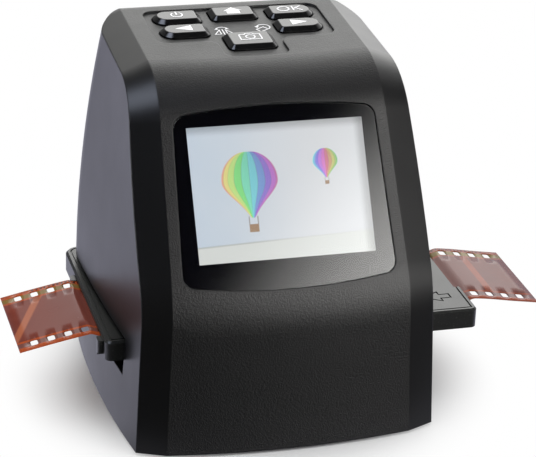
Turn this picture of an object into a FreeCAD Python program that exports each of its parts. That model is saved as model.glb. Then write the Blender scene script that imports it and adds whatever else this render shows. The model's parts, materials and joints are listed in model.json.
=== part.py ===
"""Table-top scanner for 35 mm film negatives, as an assembly of separate pieces.

Millimetres, +Z up. X runs to the right as seen from the front, +Y runs to the rear.
The origin is on the table, under the optical axis. The film runs along X through a
flat two-part tray, a lamp box lights it from below, and a lens and sensor look down
at it. The screen leans back in the front, and six keys sit in the top panel.
"""
import FreeCAD, Part
import math
import os

V = FreeCAD.Vector
X = V(1, 0, 0)
Y = V(0, 1, 0)
Z = V(0, 0, 1)

# Housing
WALL = 2.2                    # thickness of the moulding
FOOT_GAP = 0.8                # height of the housing's lower edge above the table
BODY_TOP_Z = 97.0             # height at which the side outline is measured
SIDE_MID_X = 45.9             # widest half width, at the base
SIDE_MID_Y = 6.8              # where the base is widest
SIDE_TOP_X = 38.4             # half width at the top
SIDE_SAG = 3.4                # how far the base's side bows out over its front half
SIDE_SAG_RUN = 46.4           # depth over which it does
REAR_Y = 45.0                 # rear face
REAR_CORNER_R = 16.0          # upright rear corners
REAR_TOP_R = 6.0              # rounding of the top's rear edge
SIDE_BULGE = 3.3              # how far the sides bulge at half height, at SIDE_BULGE_Y
SIDE_BULGE_Y = 30.0
BAND_BASE_X = 34.7            # half width of the front band at the table
BAND_TOP_X = 31.2             # half width of the front band at the top
BEVEL_DROP = 3.2              # depth of the bevel strip beside the band
BEVEL_WIDE = 7.3              # width of the bevel strip
FRONT_BASE_Y = -43.2          # band's edge at the table
FRONT_BEND_Y = -41.7          # band's edge where it leans back
FRONT_BEND_Z = 43.7
SHOULDER_Y = -10.1            # where the screen plane would meet the top panel
SHOULDER_Z = 98.1
PANEL_SLOPE = 0.057           # rise of the top panel towards the rear, per length
BEND_R = 30.0
SHOULDER_R = 22.0
CROWN_BASE = 2.7              # how far the band bulges at its middle, at the table
CROWN_BEND = 2.3
CROWN_SCREEN = 1.6

# Screen
LCD_W = 48.96                 # lit area of a 2.4 inch panel
LCD_H = 36.72
LCD_MID_Z = 69.8              # height of its middle
PANE_T = 1.0                  # window pane
PANE_GAP = 0.15               # round the pane
PANE_TOP_EDGE = 3.62          # pane beyond the picture, at the sides of its upper corners
PANE_LOW_EDGE = 5.22          # the same at its lower corners
PANE_UP_EDGE = 3.04           # upper corners above the picture
PANE_DOWN_EDGE = 5.84         # lower corners below it
PANE_ARCH_UP = 2.0            # rise of the arched upper edge
PANE_ARCH_DOWN = 2.5          # fall of the arched lower edge
PANE_CORNER_R = 3.5
TAPE_T = 0.2                  # adhesive frame under the pane
LCD_T = 1.6
LAMP_T = 1.4                  # backlight behind the panel
BRACKET_T = 1.0

# Film and tray
FILM_W = 35.0
FILM_T = 0.15
FILM_LEFT = -70.3
FILM_RIGHT = 81.3
FILM_PITCH = 4.75             # spacing of the perforations
FILM_ROW_Y = 14.085           # half the distance between the two rows
PERF_X = 1.98                 # width of a perforation along the strip
PERF_Y = 2.8
FRAME_X = 36.0                # picture on the film
FRAME_Y = 24.0
TRAY_LEFT = -47.9
TRAY_RIGHT = 59.9
TRAY_FRONT = -25.0
TRAY_REAR = 39.0
TRAY_BOTTOM = 21.8
TRAY_BASE_T = 4.6             # thickness of the lower half
TRAY_LID_T = 1.2
TRAY_CORNER_R = 4.0
CHANNEL_DEPTH = 0.8           # film channel in the lower half
GAP = 0.3                     # between pieces that move past each other
SLOT_TOP_GAP = 1.0            # slot above the tray
SLOT_LOW_GAP = 4.2            # slot below the tray
SLOT_END_GAP = 0.6            # slot in front of and behind the tray

# Keys
KEY_ROUND_X = (9.9, 23.5)     # inner and outer end of the four rounded keys
KEY_REAR_Y = (26.2, 34.6)
KEY_MID_Y = (16.2, 24.4)
HOME_KEY_X = 6.8
HOME_KEY_Y = (27.0, 35.6)
SHOT_KEY_X = 6.9
SHOT_KEY_Y = (5.6, 16.6)
KEY_RISE = 1.5                # above the floor of the key recess
KEY_TRAVEL = 0.5
KEY_GAP = 0.3
RECESS_DEPTH = 0.6
RECESS_X = 25.8
RECESS_REAR = 36.4
RECESS_STEP = 12.6
RECESS_TONGUE_X = 9.2
RECESS_FRONT = 0.4

# Boards
BOARD_T = 1.6
KEY_BOARD_DROP = 8.5          # key board below the panel's front edge
MAIN_BOARD_DROP = 13.2        # main board below the key board

# Screws
SCREW_R = 1.0
SCREW_HEAD_R = 1.9
SCREW_HEAD_H = 1.1
FINE_SCREW_R = 0.7            # small screws for the tray guides and the sensor board
FINE_HEAD_R = 1.4
FINE_HEAD_H = 0.8
CROSS_REACH_SHARE = 0.6       # cross recess, as shares of the head
CROSS_WIDTH_SHARE = 0.14
CROSS_FLOOR_SHARE = 0.4
OVER = 1.0                    # how far a cut runs past what it cuts
LOW_RUN = 3.0                 # how far the front's form runs below the table before it is cut off
SAME = 0.000001               # two points closer than this are one

# Base
BASE_LOW = 1.2
BASE_TOP = 3.2
BASE_FIT = 0.15               # between the base cover and the housing
FOOT_R = 5.0
FOOT_SINK = 0.4
FOOT_FRONT = (30.0, -32.0)
FOOT_REAR = (30.0, 33.5)
BASE_BOSS_R = 3.2
BASE_BOSS_TOP = 14.0
BASE_BOSS_FRONT = (37.0, -18.0)
BASE_BOSS_REAR = (37.5, 12.0)
BASE_RIB_T = 1.6
BASE_SCREW_LENGTH = 8.0
LED_POST_R = 2.0
LED_POST_H = 1.8
LED_POST_X = 19.0
LED_POST_Y = 13.0

# Rear cover
REAR_T = 1.2
REAR_FIT = 0.15
REAR_COVER_Z = (10.0, 89.5)
REAR_COVER_LOW_X = 27.0
REAR_COVER_TOP_X = 24.5
REAR_LEDGE_SIDE = 2.5
REAR_LEDGE_END = 6.0
REAR_CORNER = 3.0
REAR_SCREW_X = 18.0
REAR_SCREW_IN = 3.0           # in from the cover's upper and lower edge
REAR_BOSS_R = 2.4
REAR_BOSS_DEEP = 4.3
REAR_SCREW_LENGTH = 4.5

# Screen parts behind the pane
PANE_SINK = 0.1
OPEN_EDGE_X = 1.52            # opening behind the pane, beyond the picture
OPEN_EDGE_V = 1.24
OPEN_R = 1.5
LCD_GAP = 0.3                 # between the housing and the panel
LCD_RIM_X = 4.0               # panel beyond the picture
LCD_RIM_V = 2.8
LCD_BOSS_R = 1.8
LCD_BOSS_GAP = 0.72           # between the panel and its bosses
LCD_BOSS_IN = 1.36            # bosses in from the picture's upper and lower edge
BRACKET_EDGE = 2.0            # bracket beyond its screws, sideways
BRACKET_END = 4.2             # the same, up and down
BRACKET_FRAME_X = 13.0        # width of the bracket's frame
BRACKET_FRAME_V = 7.2
LCD_SCREW_LENGTH = 3.6

# Keys and key board
KEY_FLANGE = 0.7
KEY_FLANGE_T = 0.9
KEY_STEM_R = 1.5
KEY_INNER_R = 1.9
KEY_END_SHARE = 0.97          # roundness of the four keys' outer ends
KEY_TAPER = 1.3               # how far the cap's top is drawn in
KEY_TAPER_H = 1.1
KEY_EDGE = 0.4
KEY_STOP_GAP = 0.1            # left between stem and switch when the key is down
RECESS_R = 3.5
SWITCH_SIDE = 5.0
SWITCH_H = 2.0
SWITCH_BUTTON_R = 1.1
SWITCH_BUTTON_H = 0.6
KEY_BOARD_X = 25.0
KEY_BOARD_Y = (1.0, 41.0)
KEY_BOARD_R = 3.0
KEY_POST_R = 2.0
KEY_POST_FRONT = (16.5, 8.0)
KEY_POST_REAR = (12.0, 38.2)
KEY_SCREW_LENGTH = 4.0

# Main board
MAIN_BOARD_X = 31.5
MAIN_BOARD_Y = (-6.0, 41.2)
MAIN_BOARD_REAR_R = 9.0
MAIN_BOARD_FRONT_R = 2.0
MAIN_POST_R = 2.5
MAIN_POST_FRONT = (28.6, 5.0)
MAIN_POST_REAR = (27.6, 33.0)
MAIN_SCREW_LENGTH = 5.0
CHIP_SIDE = 12.0
CHIP_H = 1.2
CHIP_AT = (-5.0, 4.0)
MEMORY_X = 8.0
MEMORY_Y = 11.0
MEMORY_H = 1.0
MEMORY_AT = ((7.0, 4.0), (16.5, 4.0))
COIL_SIDE = 7.0
COIL_H = 3.5
COIL_AT = (16.0, 20.0)
CAP_R = 2.5
CAP_H = 4.8
CAP_AT = ((-22.0, 6.0), (-22.0, 13.0))
SOCKET_FACE_Y = 42.4          # mouth of the SD and USB sockets
SD_X = (-21.5, 3.5)
SD_DEEP = 27.0
SD_H = 3.0
SD_WALL = 0.35
SD_CARD_DEEP = 24.0
USB_X = (5.6, 13.3)
USB_DEEP = 9.0
USB_H = 4.0
USB_WALL = 0.4
USB_TONGUE_T = 0.8
JACK_X = 18.2
JACK_W = 6.2
JACK_DEEP = 12.5
JACK_H = 5.4
JACK_BORE_R = 1.8
JACK_COLLAR_R = 2.8
JACK_COLLAR = 2.2
PORT_GAP = 0.4                # round each socket in the rear cover

# Lens and sensor
TOWER_FLANGE_X = 26.0
TOWER_FLANGE_Y = 18.0
TOWER_FLANGE_T = 1.5
TOWER_LOW_X = 22.0
TOWER_LOW_Y = 14.5
TOWER_TOP = 9.8               # half width at the top
TOWER_H = 23.7
TOWER_WALL = 1.5
TOWER_SCREW_X = 24.0
TOWER_SCREW_Y = 15.8
HOLDER_TUBE_R = 7.5
HOLDER_TUBE_H = 8.9
HOLDER_BLOCK = 8.5
HOLDER_BLOCK_H = 5.6
HOLDER_CAVITY = 5.6
HOLDER_STEP = 1.0
HOLDER_STEP_R = 4.5
HOLDER_EAR_X = 13.0
HOLDER_EAR_Y = 3.0
HOLDER_EAR_T = 3.0
HOLDER_SCREW_X = 11.0
BARREL_R = 5.95
BARREL_FIT = 0.05
BARREL_HANG = 4.0             # barrel below the tower's top
BARREL_H = 12.7
BARREL_FRONT_R = 4.2
BARREL_FRONT_DEEP = 4.5
BARREL_STOP_R = 3.0
BARREL_STOP_H = 3.5
BARREL_REAR_R = 3.65
LENS_FIT = 0.03
LENS_BULGE = 0.5
FRONT_LENS_T = 2.8
REAR_LENS_T = 2.7
FILTER_T = 0.6
SENSOR_X = 4.8
SENSOR_Y = 4.2
SENSOR_H = 1.1
SENSOR_BOARD_X = 17.0
SENSOR_BOARD_Y = (-12.0, 15.0)
SENSOR_BOARD_R = 1.5

# Film guides and lamp
GUIDE_X = 36.0
GUIDE_T = 1.9
GUIDE_RAIL = 2.5
GUIDE_RAIL_X = 30.0
GUIDE_R = 10.0
GUIDE_FRONT_R = 2.0
GUIDE_OPEN_X = 20.0
GUIDE_OPEN_Y = 13.5
GUIDE_SCREW_X = 26.0
GUIDE_SCREW_LENGTH = 5.0
LEG_R = 2.8
LEG_FRONT = (30.0, -21.5)
LEG_REAR = (30.0, 22.0)
LEG_SCREW_LENGTH = 8.0
SPRING_T = 0.3
SPRING_W = 1.6
SPRING_X = 9.0
SPRING_Y = -21.3
SPRING_LIFT = 1.0
SPRING_BED = 0.6
LAMP_X = 24.0
LAMP_Y = 18.0
LAMP_WALL = 3.0
LAMP_TOP_GAP = 0.2
DIFFUSER_STEP = 1.5
DIFFUSER_H = 2.0
DIFFUSER_FIT = 0.1
LED_BOARD_X = 23.0
LED_BOARD_Y = 17.0
LED_X = 3.5
LED_Y = 2.8
LED_H = 0.8
LED_STEP_X = 11.0
LED_STEP_Y = 9.0

# Ribbons and lead
RIBBON_T = 0.25
RIBBON_W = 10.0
LEAD_R = 0.55
LEAD_BEND_R = 2.5
LEAD_X = 21.0
LEAD_FRONT_Y = -33.5
LEAD_MID = (-30.0, 40.0)
LEAD_END = (-9.5, 70.0)
LEAD_NOTCH = 1.5              # half width and height of its notch in the light box
LCD_RIBBON_X = -27.6
KEY_RIBBON_X = -22.5
SHARP_SHARE = 0.5             # sharpest corner of a bent strip

# Tray details
TRAY_WINDOW_GAP = 0.5         # tray window beyond the film's picture
TRAY_EDGE = 0.6
TRAY_LUG_OUT = 1.5            # lower half's lugs beside the film, beyond the left end
TRAY_LUG_WIDE = 3.4
TRAY_LUG_R = 0.8
TRAY_NOTCH = 2.2              # lid's notch for the film at the right end
TRAY_NOTCH_Y = (-10.0, 21.0)
TRAY_LEFT_NOTCH = 2.1
HINGE_Y = 37.2
HINGE_R = 1.2
HINGE_PIN_R = 0.5
HINGE_AT = (-36.0, 36.0)
HINGE_KNUCKLE = 6.0
HINGE_PIN = 14.0
LATCH_X = 5.0
LATCH_T = 1.2
LATCH_H = 0.5
LATCH_AT = (-22.0, 22.0)
RIM_IN = 1.3                  # groove along the lid's edge
RIM_W = 0.5
RIM_DEEP = 0.35
ARROW_X = (46.8, 54.6)
ARROW_Y = -15.2
ARROW_HEAD = 4.8              # length of the arrow's head
ARROW_HALF = 3.0              # half width of the head
ARROW_SHAFT = 1.2             # half width of the shaft
ARROW_LINE = 0.45
ARROW_DEEP = 0.3

# Worked out from the sizes above
TRAY_SPLIT = TRAY_BOTTOM + TRAY_BASE_T
TRAY_TOP = TRAY_SPLIT + TRAY_LID_T
CHANNEL_FLOOR = TRAY_SPLIT - CHANNEL_DEPTH
FILM_LOW = CHANNEL_FLOOR + GAP
GUIDE_TOP = TRAY_BOTTOM - GAP
GUIDE_LOW = GUIDE_TOP - GUIDE_T
ROOF_LOW = TRAY_TOP + GAP
ROOF_TOP = ROOF_LOW + GUIDE_T
RAIL_FRONT = TRAY_FRONT - GAP
RAIL_REAR = TRAY_REAR + GAP
LED_BOARD_Z = BASE_TOP + LED_POST_H
LAMP_LOW = LED_BOARD_Z + BOARD_T
LAMP_HIGH = GUIDE_LOW - LAMP_TOP_GAP
DIFFUSER_X = LAMP_X - LAMP_WALL + DIFFUSER_STEP
DIFFUSER_Y = LAMP_Y - LAMP_WALL + DIFFUSER_STEP
LEAD_START_Y = -LED_BOARD_Y + LEAD_BEND_R
TOWER_TOP_Z = ROOF_TOP + TOWER_H
HOLDER_BLOCK_Z = TOWER_TOP_Z + HOLDER_TUBE_H
SENSOR_BOARD_Z = HOLDER_BLOCK_Z + HOLDER_BLOCK_H
BARREL_LOW = TOWER_TOP_Z - BARREL_HANG
STOP_LOW = BARREL_LOW + BARREL_FRONT_DEEP
STOP_HIGH = STOP_LOW + BARREL_STOP_H
KEY_BOARD_Z = SHOULDER_Z - KEY_BOARD_DROP
SWITCH_TOP = KEY_BOARD_Z + BOARD_T + SWITCH_H + SWITCH_BUTTON_H
MAIN_BOARD_Z = KEY_BOARD_Z - MAIN_BOARD_DROP
BOARD_TOP = MAIN_BOARD_Z + BOARD_T
JACK_Z = BOARD_TOP + JACK_H / 2
BASE_SEAT = BASE_LOW + SCREW_HEAD_H
PANE_TOP_X = LCD_W / 2 + PANE_TOP_EDGE
PANE_LOW_X = LCD_W / 2 + PANE_LOW_EDGE
PANE_UP = LCD_H / 2 + PANE_UP_EDGE
PANE_DOWN = LCD_H / 2 + PANE_DOWN_EDGE
OPEN_X = LCD_W / 2 + OPEN_EDGE_X
OPEN_V = LCD_H / 2 + OPEN_EDGE_V
TAPE_DEPTH = PANE_SINK + PANE_T
LCD_DEPTH = WALL + LCD_GAP
LAMP_DEPTH = LCD_DEPTH + LCD_T
BRACKET_DEPTH = LAMP_DEPTH + LAMP_T
LCD_BOSS_X = LCD_W / 2 + LCD_RIM_X + LCD_BOSS_GAP + LCD_BOSS_R
LCD_BOSS_V = LCD_H / 2 - LCD_BOSS_IN
LCD_BRACKET_X = LCD_BOSS_X + BRACKET_EDGE
LCD_BRACKET_V = LCD_BOSS_V + BRACKET_END


def box(x0, x1, y0, y1, z0, z1):
    """A block between two corners."""
    return Part.makeBox(x1 - x0, y1 - y0, z1 - z0, V(x0, y0, z0))


def rod(r, start, end):
    """A round bar from one point to another."""
    way = end - start
    return Part.makeCylinder(r, way.Length, start, way)


def fuse(shapes):
    """One solid from several that touch."""
    whole = shapes[0]
    for shape in shapes[1:]:
        whole = whole.fuse(shape)
    return whole.removeSplitter()


def rounded_outline(points, radii):
    """Closed outline through corner points, with a tangent arc at each corner that has a radius."""
    edges = []
    ends = []
    for i, corner in enumerate(points):
        before = points[i - 1]
        after = points[(i + 1) % len(points)]
        if not radii[i]:
            ends.append((corner, corner))
            continue
        back = (before - corner).normalize()
        ahead = (after - corner).normalize()
        half = back.getAngle(ahead) / 2
        reach = radii[i] / math.tan(half)
        first = corner + back * reach
        last = corner + ahead * reach
        inward = (back + ahead).normalize()
        middle = corner + inward * (radii[i] / math.sin(half) - radii[i])
        edges.append((i, Part.Arc(first, middle, last).toShape()))
        ends.append((first, last))
    arcs = dict(edges)
    run = []
    for i in range(len(points)):
        if i in arcs:
            run.append(arcs[i])
        start = ends[i][1]
        end = ends[(i + 1) % len(points)][0]
        if (end - start).Length > SAME:
            run.append(Part.LineSegment(start, end).toShape())
    return Part.Wire(run)


def plate(points, radii, z0, z1):
    """A flat plate with a rounded outline, given as (x, y) corners."""
    outline = rounded_outline([V(x, y, z0) for x, y in points], radii)
    return Part.Face(outline).extrude(V(0, 0, z1 - z0))


def rectangle(x0, x1, y0, y1):
    """Corners of a rectangle, in order."""
    return [(x0, y0), (x1, y0), (x1, y1), (x0, y1)]


def rounded_block(x0, x1, y0, y1, z0, z1, r):
    """A block with rounded upright edges."""
    return plate(rectangle(x0, x1, y0, y1), [r] * 4, z0, z1)


def screw(tip, way, length, head_r=SCREW_HEAD_R, head_h=SCREW_HEAD_H):
    """A pan head screw from its tip, with a cross recess in the head."""
    seat = tip + way * length
    body = rod(SCREW_R, tip, seat).fuse(rod(head_r, seat, seat + way * head_h))
    side = X if abs(way.dot(X)) < math.cos(math.pi / 4) else Y
    other = way.cross(side)
    arm = head_r * CROSS_REACH_SHARE
    thick = head_r * CROSS_WIDTH_SHARE
    floor = seat + way * (head_h * CROSS_FLOOR_SHARE)
    for a, b in ((side, other), (other, side)):
        corner = floor - a * arm - b * thick
        blade = Part.Face(Part.makePolygon([corner, corner + a * (2 * arm), corner + a * (2 * arm)
                                            + b * (2 * thick), corner + b * (2 * thick), corner]))
        body = body.cut(blade.extrude(way * head_h))
    return body


def export(name, shape):
    """Write one piece under its node's name."""
    shape.exportStep("parts/" + name + ".step")


def group(shapes):
    """Several like solids that share one node."""
    return Part.makeCompound(shapes)


# Outer form of the housing

def panel_z(y):
    """Height of the top panel at a depth y."""
    return SHOULDER_Z + PANEL_SLOPE * (y - SHOULDER_Y)


def side_x(y, z, inset=0.0):
    """Half width of the housing at depth y and height z."""
    base = SIDE_MID_X - SIDE_SAG * ((y - SIDE_MID_Y) / SIDE_SAG_RUN) ** 2
    rise = z / BODY_TOP_Z
    back = (y - FRONT_BASE_Y) / (SIDE_BULGE_Y - FRONT_BASE_Y)
    bulge = SIDE_BULGE * 4 * rise * (1 - rise) * back ** 2
    return base + (SIDE_TOP_X - base) * rise + bulge - inset


def plan_outline(z, inset):
    """Outline of the housing from above at height z: bowed sides, round rear corners."""
    rear = REAR_Y - inset
    r = REAR_CORNER_R - inset
    front = FRONT_BASE_Y - REAR_CORNER_R
    start_y = rear - r
    for _ in range(3):
        step = (side_x(start_y, z) - side_x(start_y - OVER, z)) / OVER
        lean = math.atan(-step)
        start_y = rear - r * (1 - math.sin(lean))
    edges = []
    tip = {}
    for s in (1, -1):
        low = V(s * side_x(front, z, inset), front, z)
        middle = V(s * side_x((front + start_y) / 2, z, inset), (front + start_y) / 2, z)
        top = V(s * side_x(start_y, z, inset), start_y, z)
        centre = V(top.x - s * r * math.cos(lean), top.y - r * math.sin(lean), z)
        half = (lean + math.pi / 2) / 2
        knee = V(centre.x + s * r * math.cos(half), centre.y + r * math.sin(half), z)
        end = V(centre.x, centre.y + r, z)
        tip[s] = (low, end)
        arcs = [Part.Arc(low, middle, top).toShape(), Part.Arc(top, knee, end).toShape()]
        edges.append(arcs)
    run = edges[0] + [Part.LineSegment(tip[1][1], tip[-1][1]).toShape()]
    run += [edge for edge in reversed(edges[1])]
    run += [Part.LineSegment(tip[-1][0], tip[1][0]).toShape()]
    return Part.Wire(run)


def upright_form(inset):
    """The housing's sides and rear as one tapering block."""
    high = BODY_TOP_Z + REAR_CORNER_R
    outlines = [plan_outline(z, inset) for z in (-OVER, high / 2, high)]
    return Part.makeLoft(outlines, True, False)


def band_x(z):
    """Half width of the front band at height z."""
    return BAND_BASE_X + (BAND_TOP_X - BAND_BASE_X) * z / BODY_TOP_Z


def side_profile(out_x, inset, fall, crown):
    """Side view of the band, in the leaning plane given by out_x, set in and lowered."""
    rear = REAR_Y - inset
    depth = inset + fall
    low = -LOW_RUN
    front = V(0, FRONT_BASE_Y + depth - crown * CROWN_BASE, low)
    lean = math.atan2(FRONT_BEND_Y - FRONT_BASE_Y, FRONT_BEND_Z)
    tilt = screen_tilt()
    screen_out = crown * CROWN_SCREEN - depth
    # the bend lies where the set-in front and the set-in screen plane meet
    front_y = FRONT_BEND_Y + depth - crown * CROWN_BEND
    bend_z = FRONT_BEND_Z + (screen_out / math.cos(tilt) + depth - crown * CROWN_BEND) / math.tan(tilt)
    bend = V(0, front_y, bend_z)
    slope = math.tan(tilt)
    # the shoulder lies where the screen plane and the top panel meet
    y0 = front_y - slope * bend_z
    z_level = SHOULDER_Z - depth - PANEL_SLOPE * SHOULDER_Y
    shoulder_y = (y0 + slope * z_level) / (1 - slope * PANEL_SLOPE)
    shoulder = V(0, shoulder_y, z_level + PANEL_SLOPE * shoulder_y)
    top = V(0, rear, z_level + PANEL_SLOPE * rear)
    bottom = V(0, rear, low)
    flat = rounded_outline([front, bend, shoulder, top, bottom],
                           [0, BEND_R - depth, SHOULDER_R - depth, REAR_TOP_R - inset, 0])
    return [lean_edge(edge, out_x) for edge in flat.Edges]


def lean_edge(edge, out_x):
    """Move a flat edge into the leaning plane: x follows the band's half width."""
    def put(p):
        return V(out_x(p.z), p.y, p.z)
    a = put(edge.Vertexes[0].Point)
    b = put(edge.Vertexes[1].Point)
    if edge.Curve.TypeId == "Part::GeomLine":
        return Part.LineSegment(a, b).toShape()
    middle = edge.valueAt((edge.FirstParameter + edge.LastParameter) / 2)
    return Part.Arc(a, put(middle), b).toShape()


def screen_tilt():
    """Lean of the screen plane from upright."""
    return math.atan2(SHOULDER_Y - FRONT_BEND_Y, SHOULDER_Z - FRONT_BEND_Z)


def wrapped_form(inset, crowned):
    """Front, shoulder and top: a band down the middle with a bevel strip on each side."""
    reach = SIDE_MID_X - BAND_TOP_X + OVER
    fall = BEVEL_DROP * reach / BEVEL_WIDE
    parts = []
    rims = {}
    for s in (1, -1):
        rims[s] = Part.Wire(side_profile(lambda z, s=s: s * band_x(z), inset, 0, 0))
        outer = Part.Wire(side_profile(lambda z, s=s: s * (band_x(z) + reach), inset, fall, 0))
        parts.append(Part.makeLoft([rims[s], outer], True, True))
    if crowned:
        middle = Part.Wire(side_profile(lambda z: 0.0, inset, 0, 1))
        parts.append(Part.makeLoft([rims[-1], middle, rims[1]], True, False))
    else:
        parts.append(Part.makeLoft([rims[-1], rims[1]], True, True))
    return parts[0].fuse([parts[1], parts[2]])


def housing_form(inset, crowned):
    """The whole outer form, or the cavity when it is set in by the wall."""
    return upright_form(inset).common(wrapped_form(inset, crowned))


def slab(z0, z1):
    """Everything of the scanner between two heights."""
    return box(-2 * SIDE_MID_X, 2 * SIDE_MID_X, -2 * REAR_Y, 2 * REAR_Y, z0, z1)


# Screen plane

def pane_middle():
    """Middle of the picture, on the plane through the band's edges."""
    return V(0, FRONT_BEND_Y + math.tan(screen_tilt()) * (LCD_MID_Z - FRONT_BEND_Z), LCD_MID_Z)


def lean(shape):
    """Turn a shape drawn upright (x, inward, up) into the leaning screen plane."""
    shape.rotate(V(0, 0, 0), X, -math.degrees(screen_tilt()))
    shape.translate(pane_middle())
    return shape


def screen_block(x, v, y0, y1, r=0.0):
    """Upright block centred on the picture, from depth y0 to y1."""
    if not r:
        return box(-x, x, y0, y1, -v, v)
    outline = rounded_outline([V(-x, y0, -v), V(x, y0, -v), V(x, y0, v), V(-x, y0, v)], [r] * 4)
    return Part.Face(outline).extrude(V(0, y1 - y0, 0))


def pane_block(grow, y0, y1):
    """The window's outline, arched above and below, from depth y0 to y1."""
    top = PANE_UP + grow
    low = -PANE_DOWN - grow
    a = V(-PANE_TOP_X - grow, y0, top)
    b = V(PANE_TOP_X + grow, y0, top)
    c = V(PANE_LOW_X + grow, y0, low)
    d = V(-PANE_LOW_X - grow, y0, low)
    wire = Part.Wire([Part.Arc(a, V(0, y0, top + PANE_ARCH_UP), b).toShape(),
                      Part.LineSegment(b, c).toShape(),
                      Part.Arc(c, V(0, y0, low - PANE_ARCH_DOWN), d).toShape(),
                      Part.LineSegment(d, a).toShape()])
    block = Part.Face(wire).extrude(V(0, y1 - y0, 0))
    uprights = [e for e in block.Edges if abs(e.Vertexes[0].Y - e.Vertexes[-1].Y) > (y1 - y0) / 2]
    return block.makeFillet(PANE_CORNER_R + grow, uprights)


LCD_BOSS_PLACES = [(s * LCD_BOSS_X, t * LCD_BOSS_V) for s in (-1, 1) for t in (-1, 1)]


def screen_window():
    """The dark pane in front of the picture."""
    return lean(pane_block(0.0, PANE_SINK, TAPE_DEPTH))


def window_gasket():
    """Adhesive frame that holds the pane on the housing's ledge."""
    frame = pane_block(0.0, TAPE_DEPTH, TAPE_DEPTH + TAPE_T)
    return lean(frame.cut(screen_block(OPEN_X, OPEN_V, 0, WALL, OPEN_R)))


def lcd_panel():
    """Glass sandwich of the display."""
    return lean(screen_block(LCD_W / 2 + LCD_RIM_X, LCD_H / 2 + LCD_RIM_V, LCD_DEPTH, LAMP_DEPTH))


def lcd_backlight():
    """Light guide and frame behind the display."""
    return lean(screen_block(LCD_W / 2 + LCD_RIM_X, LCD_H / 2 + LCD_RIM_V, LAMP_DEPTH,
                             BRACKET_DEPTH, OPEN_R))


def lcd_bracket():
    """Plate that clamps the display to four bosses."""
    back = BRACKET_DEPTH + BRACKET_T
    frame = screen_block(LCD_BRACKET_X, LCD_BRACKET_V, BRACKET_DEPTH, back, OPEN_R)
    frame = frame.cut(screen_block(LCD_BRACKET_X - BRACKET_FRAME_X, LCD_BRACKET_V - BRACKET_FRAME_V,
                                   0, back + OVER, OPEN_R))
    for x, v in LCD_BOSS_PLACES:
        frame = frame.cut(rod(SCREW_R, V(x, 0, v), V(x, back + OVER, v)))
    return lean(frame)


def lcd_bracket_screws():
    """Four screws through the display's bracket."""
    back = BRACKET_DEPTH + BRACKET_T
    return group([lean(screw(V(x, back - LCD_SCREW_LENGTH, v), Y, LCD_SCREW_LENGTH))
                  for x, v in LCD_BOSS_PLACES])


# Keys

def over_panel(down):
    """Everything above the top panel's plane, lowered by down."""
    y0 = SHOULDER_Y - REAR_CORNER_R
    y1 = REAR_Y + OVER
    high = BODY_TOP_Z + REAR_CORNER_R
    corners = [V(0, y0, panel_z(y0) - down), V(0, y1, panel_z(y1) - down), V(0, y1, high),
               V(0, y0, high)]
    face = Part.Face(Part.makePolygon(corners + corners[:1]))
    return face.extrude(V(2 * SIDE_MID_X, 0, 0)).translated(V(-SIDE_MID_X, 0, 0))


def key_outlines():
    """Name, corners, corner radii and middle of each key."""
    keys = {}
    inner, outer = KEY_ROUND_X
    for name, s, (y0, y1) in (("power_key", -1, KEY_REAR_Y), ("ok_key", 1, KEY_REAR_Y),
                              ("left_key", -1, KEY_MID_Y), ("right_key", 1, KEY_MID_Y)):
        end = (y1 - y0) / 2 * KEY_END_SHARE
        x0, x1 = sorted((s * inner, s * outer))
        radii = [end, KEY_INNER_R, KEY_INNER_R, end]
        if s > 0:
            radii = [KEY_INNER_R, end, end, KEY_INNER_R]
        keys[name] = (x0, x1, y0, y1, radii)
    keys["home_key"] = (-HOME_KEY_X, HOME_KEY_X) + HOME_KEY_Y + ([KEY_INNER_R] * 4,)
    keys["capture_key"] = (-SHOT_KEY_X, SHOT_KEY_X) + SHOT_KEY_Y + ([KEY_INNER_R] * 4,)
    return keys


def key_prism(size, grow, z0, z1):
    """Upright prism over a key's outline, larger all round by grow."""
    x0, x1, y0, y1, radii = size
    corners = rectangle(x0 - grow, x1 + grow, y0 - grow, y1 + grow)
    return plate(corners, [r + grow for r in radii], z0, z1)


def key_centre(size):
    """Middle of a key, as seen from above."""
    return (size[0] + size[1]) / 2, (size[2] + size[3]) / 2


def key_taper(size, z0, z1):
    """Upper part of a key's cap, narrower at its top."""
    x0, x1, y0, y1, radii = size
    low = rounded_outline([V(x, y, z0) for x, y in rectangle(x0, x1, y0, y1)], radii)
    t = KEY_TAPER
    inner = rectangle(x0 + t, x1 - t, y0 + t, y1 - t)
    high = rounded_outline([V(x, y, z1) for x, y in inner], [r - t for r in radii])
    cap = Part.makeLoft([low, high], True, True)
    rim = [e for e in cap.Edges if all(v.Z > z1 - SAME for v in e.Vertexes)]
    return cap.makeFillet(KEY_EDGE, rim)


def key_piece(size):
    """Cap that follows the panel's slope, a flange under the panel and a stem."""
    under = RECESS_DEPTH - WALL - KEY_GAP
    low = under - KEY_FLANGE_T
    waist = KEY_RISE - KEY_TAPER_H
    cap = fuse([key_prism(size, KEY_FLANGE, low, under), key_prism(size, 0.0, low, waist),
                key_taper(size, waist, KEY_RISE)])
    cap.rotate(V(0, 0, 0), X, math.degrees(math.atan(PANEL_SLOPE)))
    cap.translate(V(0, 0, panel_z(0) - RECESS_DEPTH))
    x, y = key_centre(size)
    foot = SWITCH_TOP + KEY_TRAVEL + KEY_STOP_GAP
    stem = rod(KEY_STEM_R, V(x, y, foot), V(x, y, panel_z(y) - WALL - KEY_GAP))
    return fuse([cap, stem])


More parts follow.
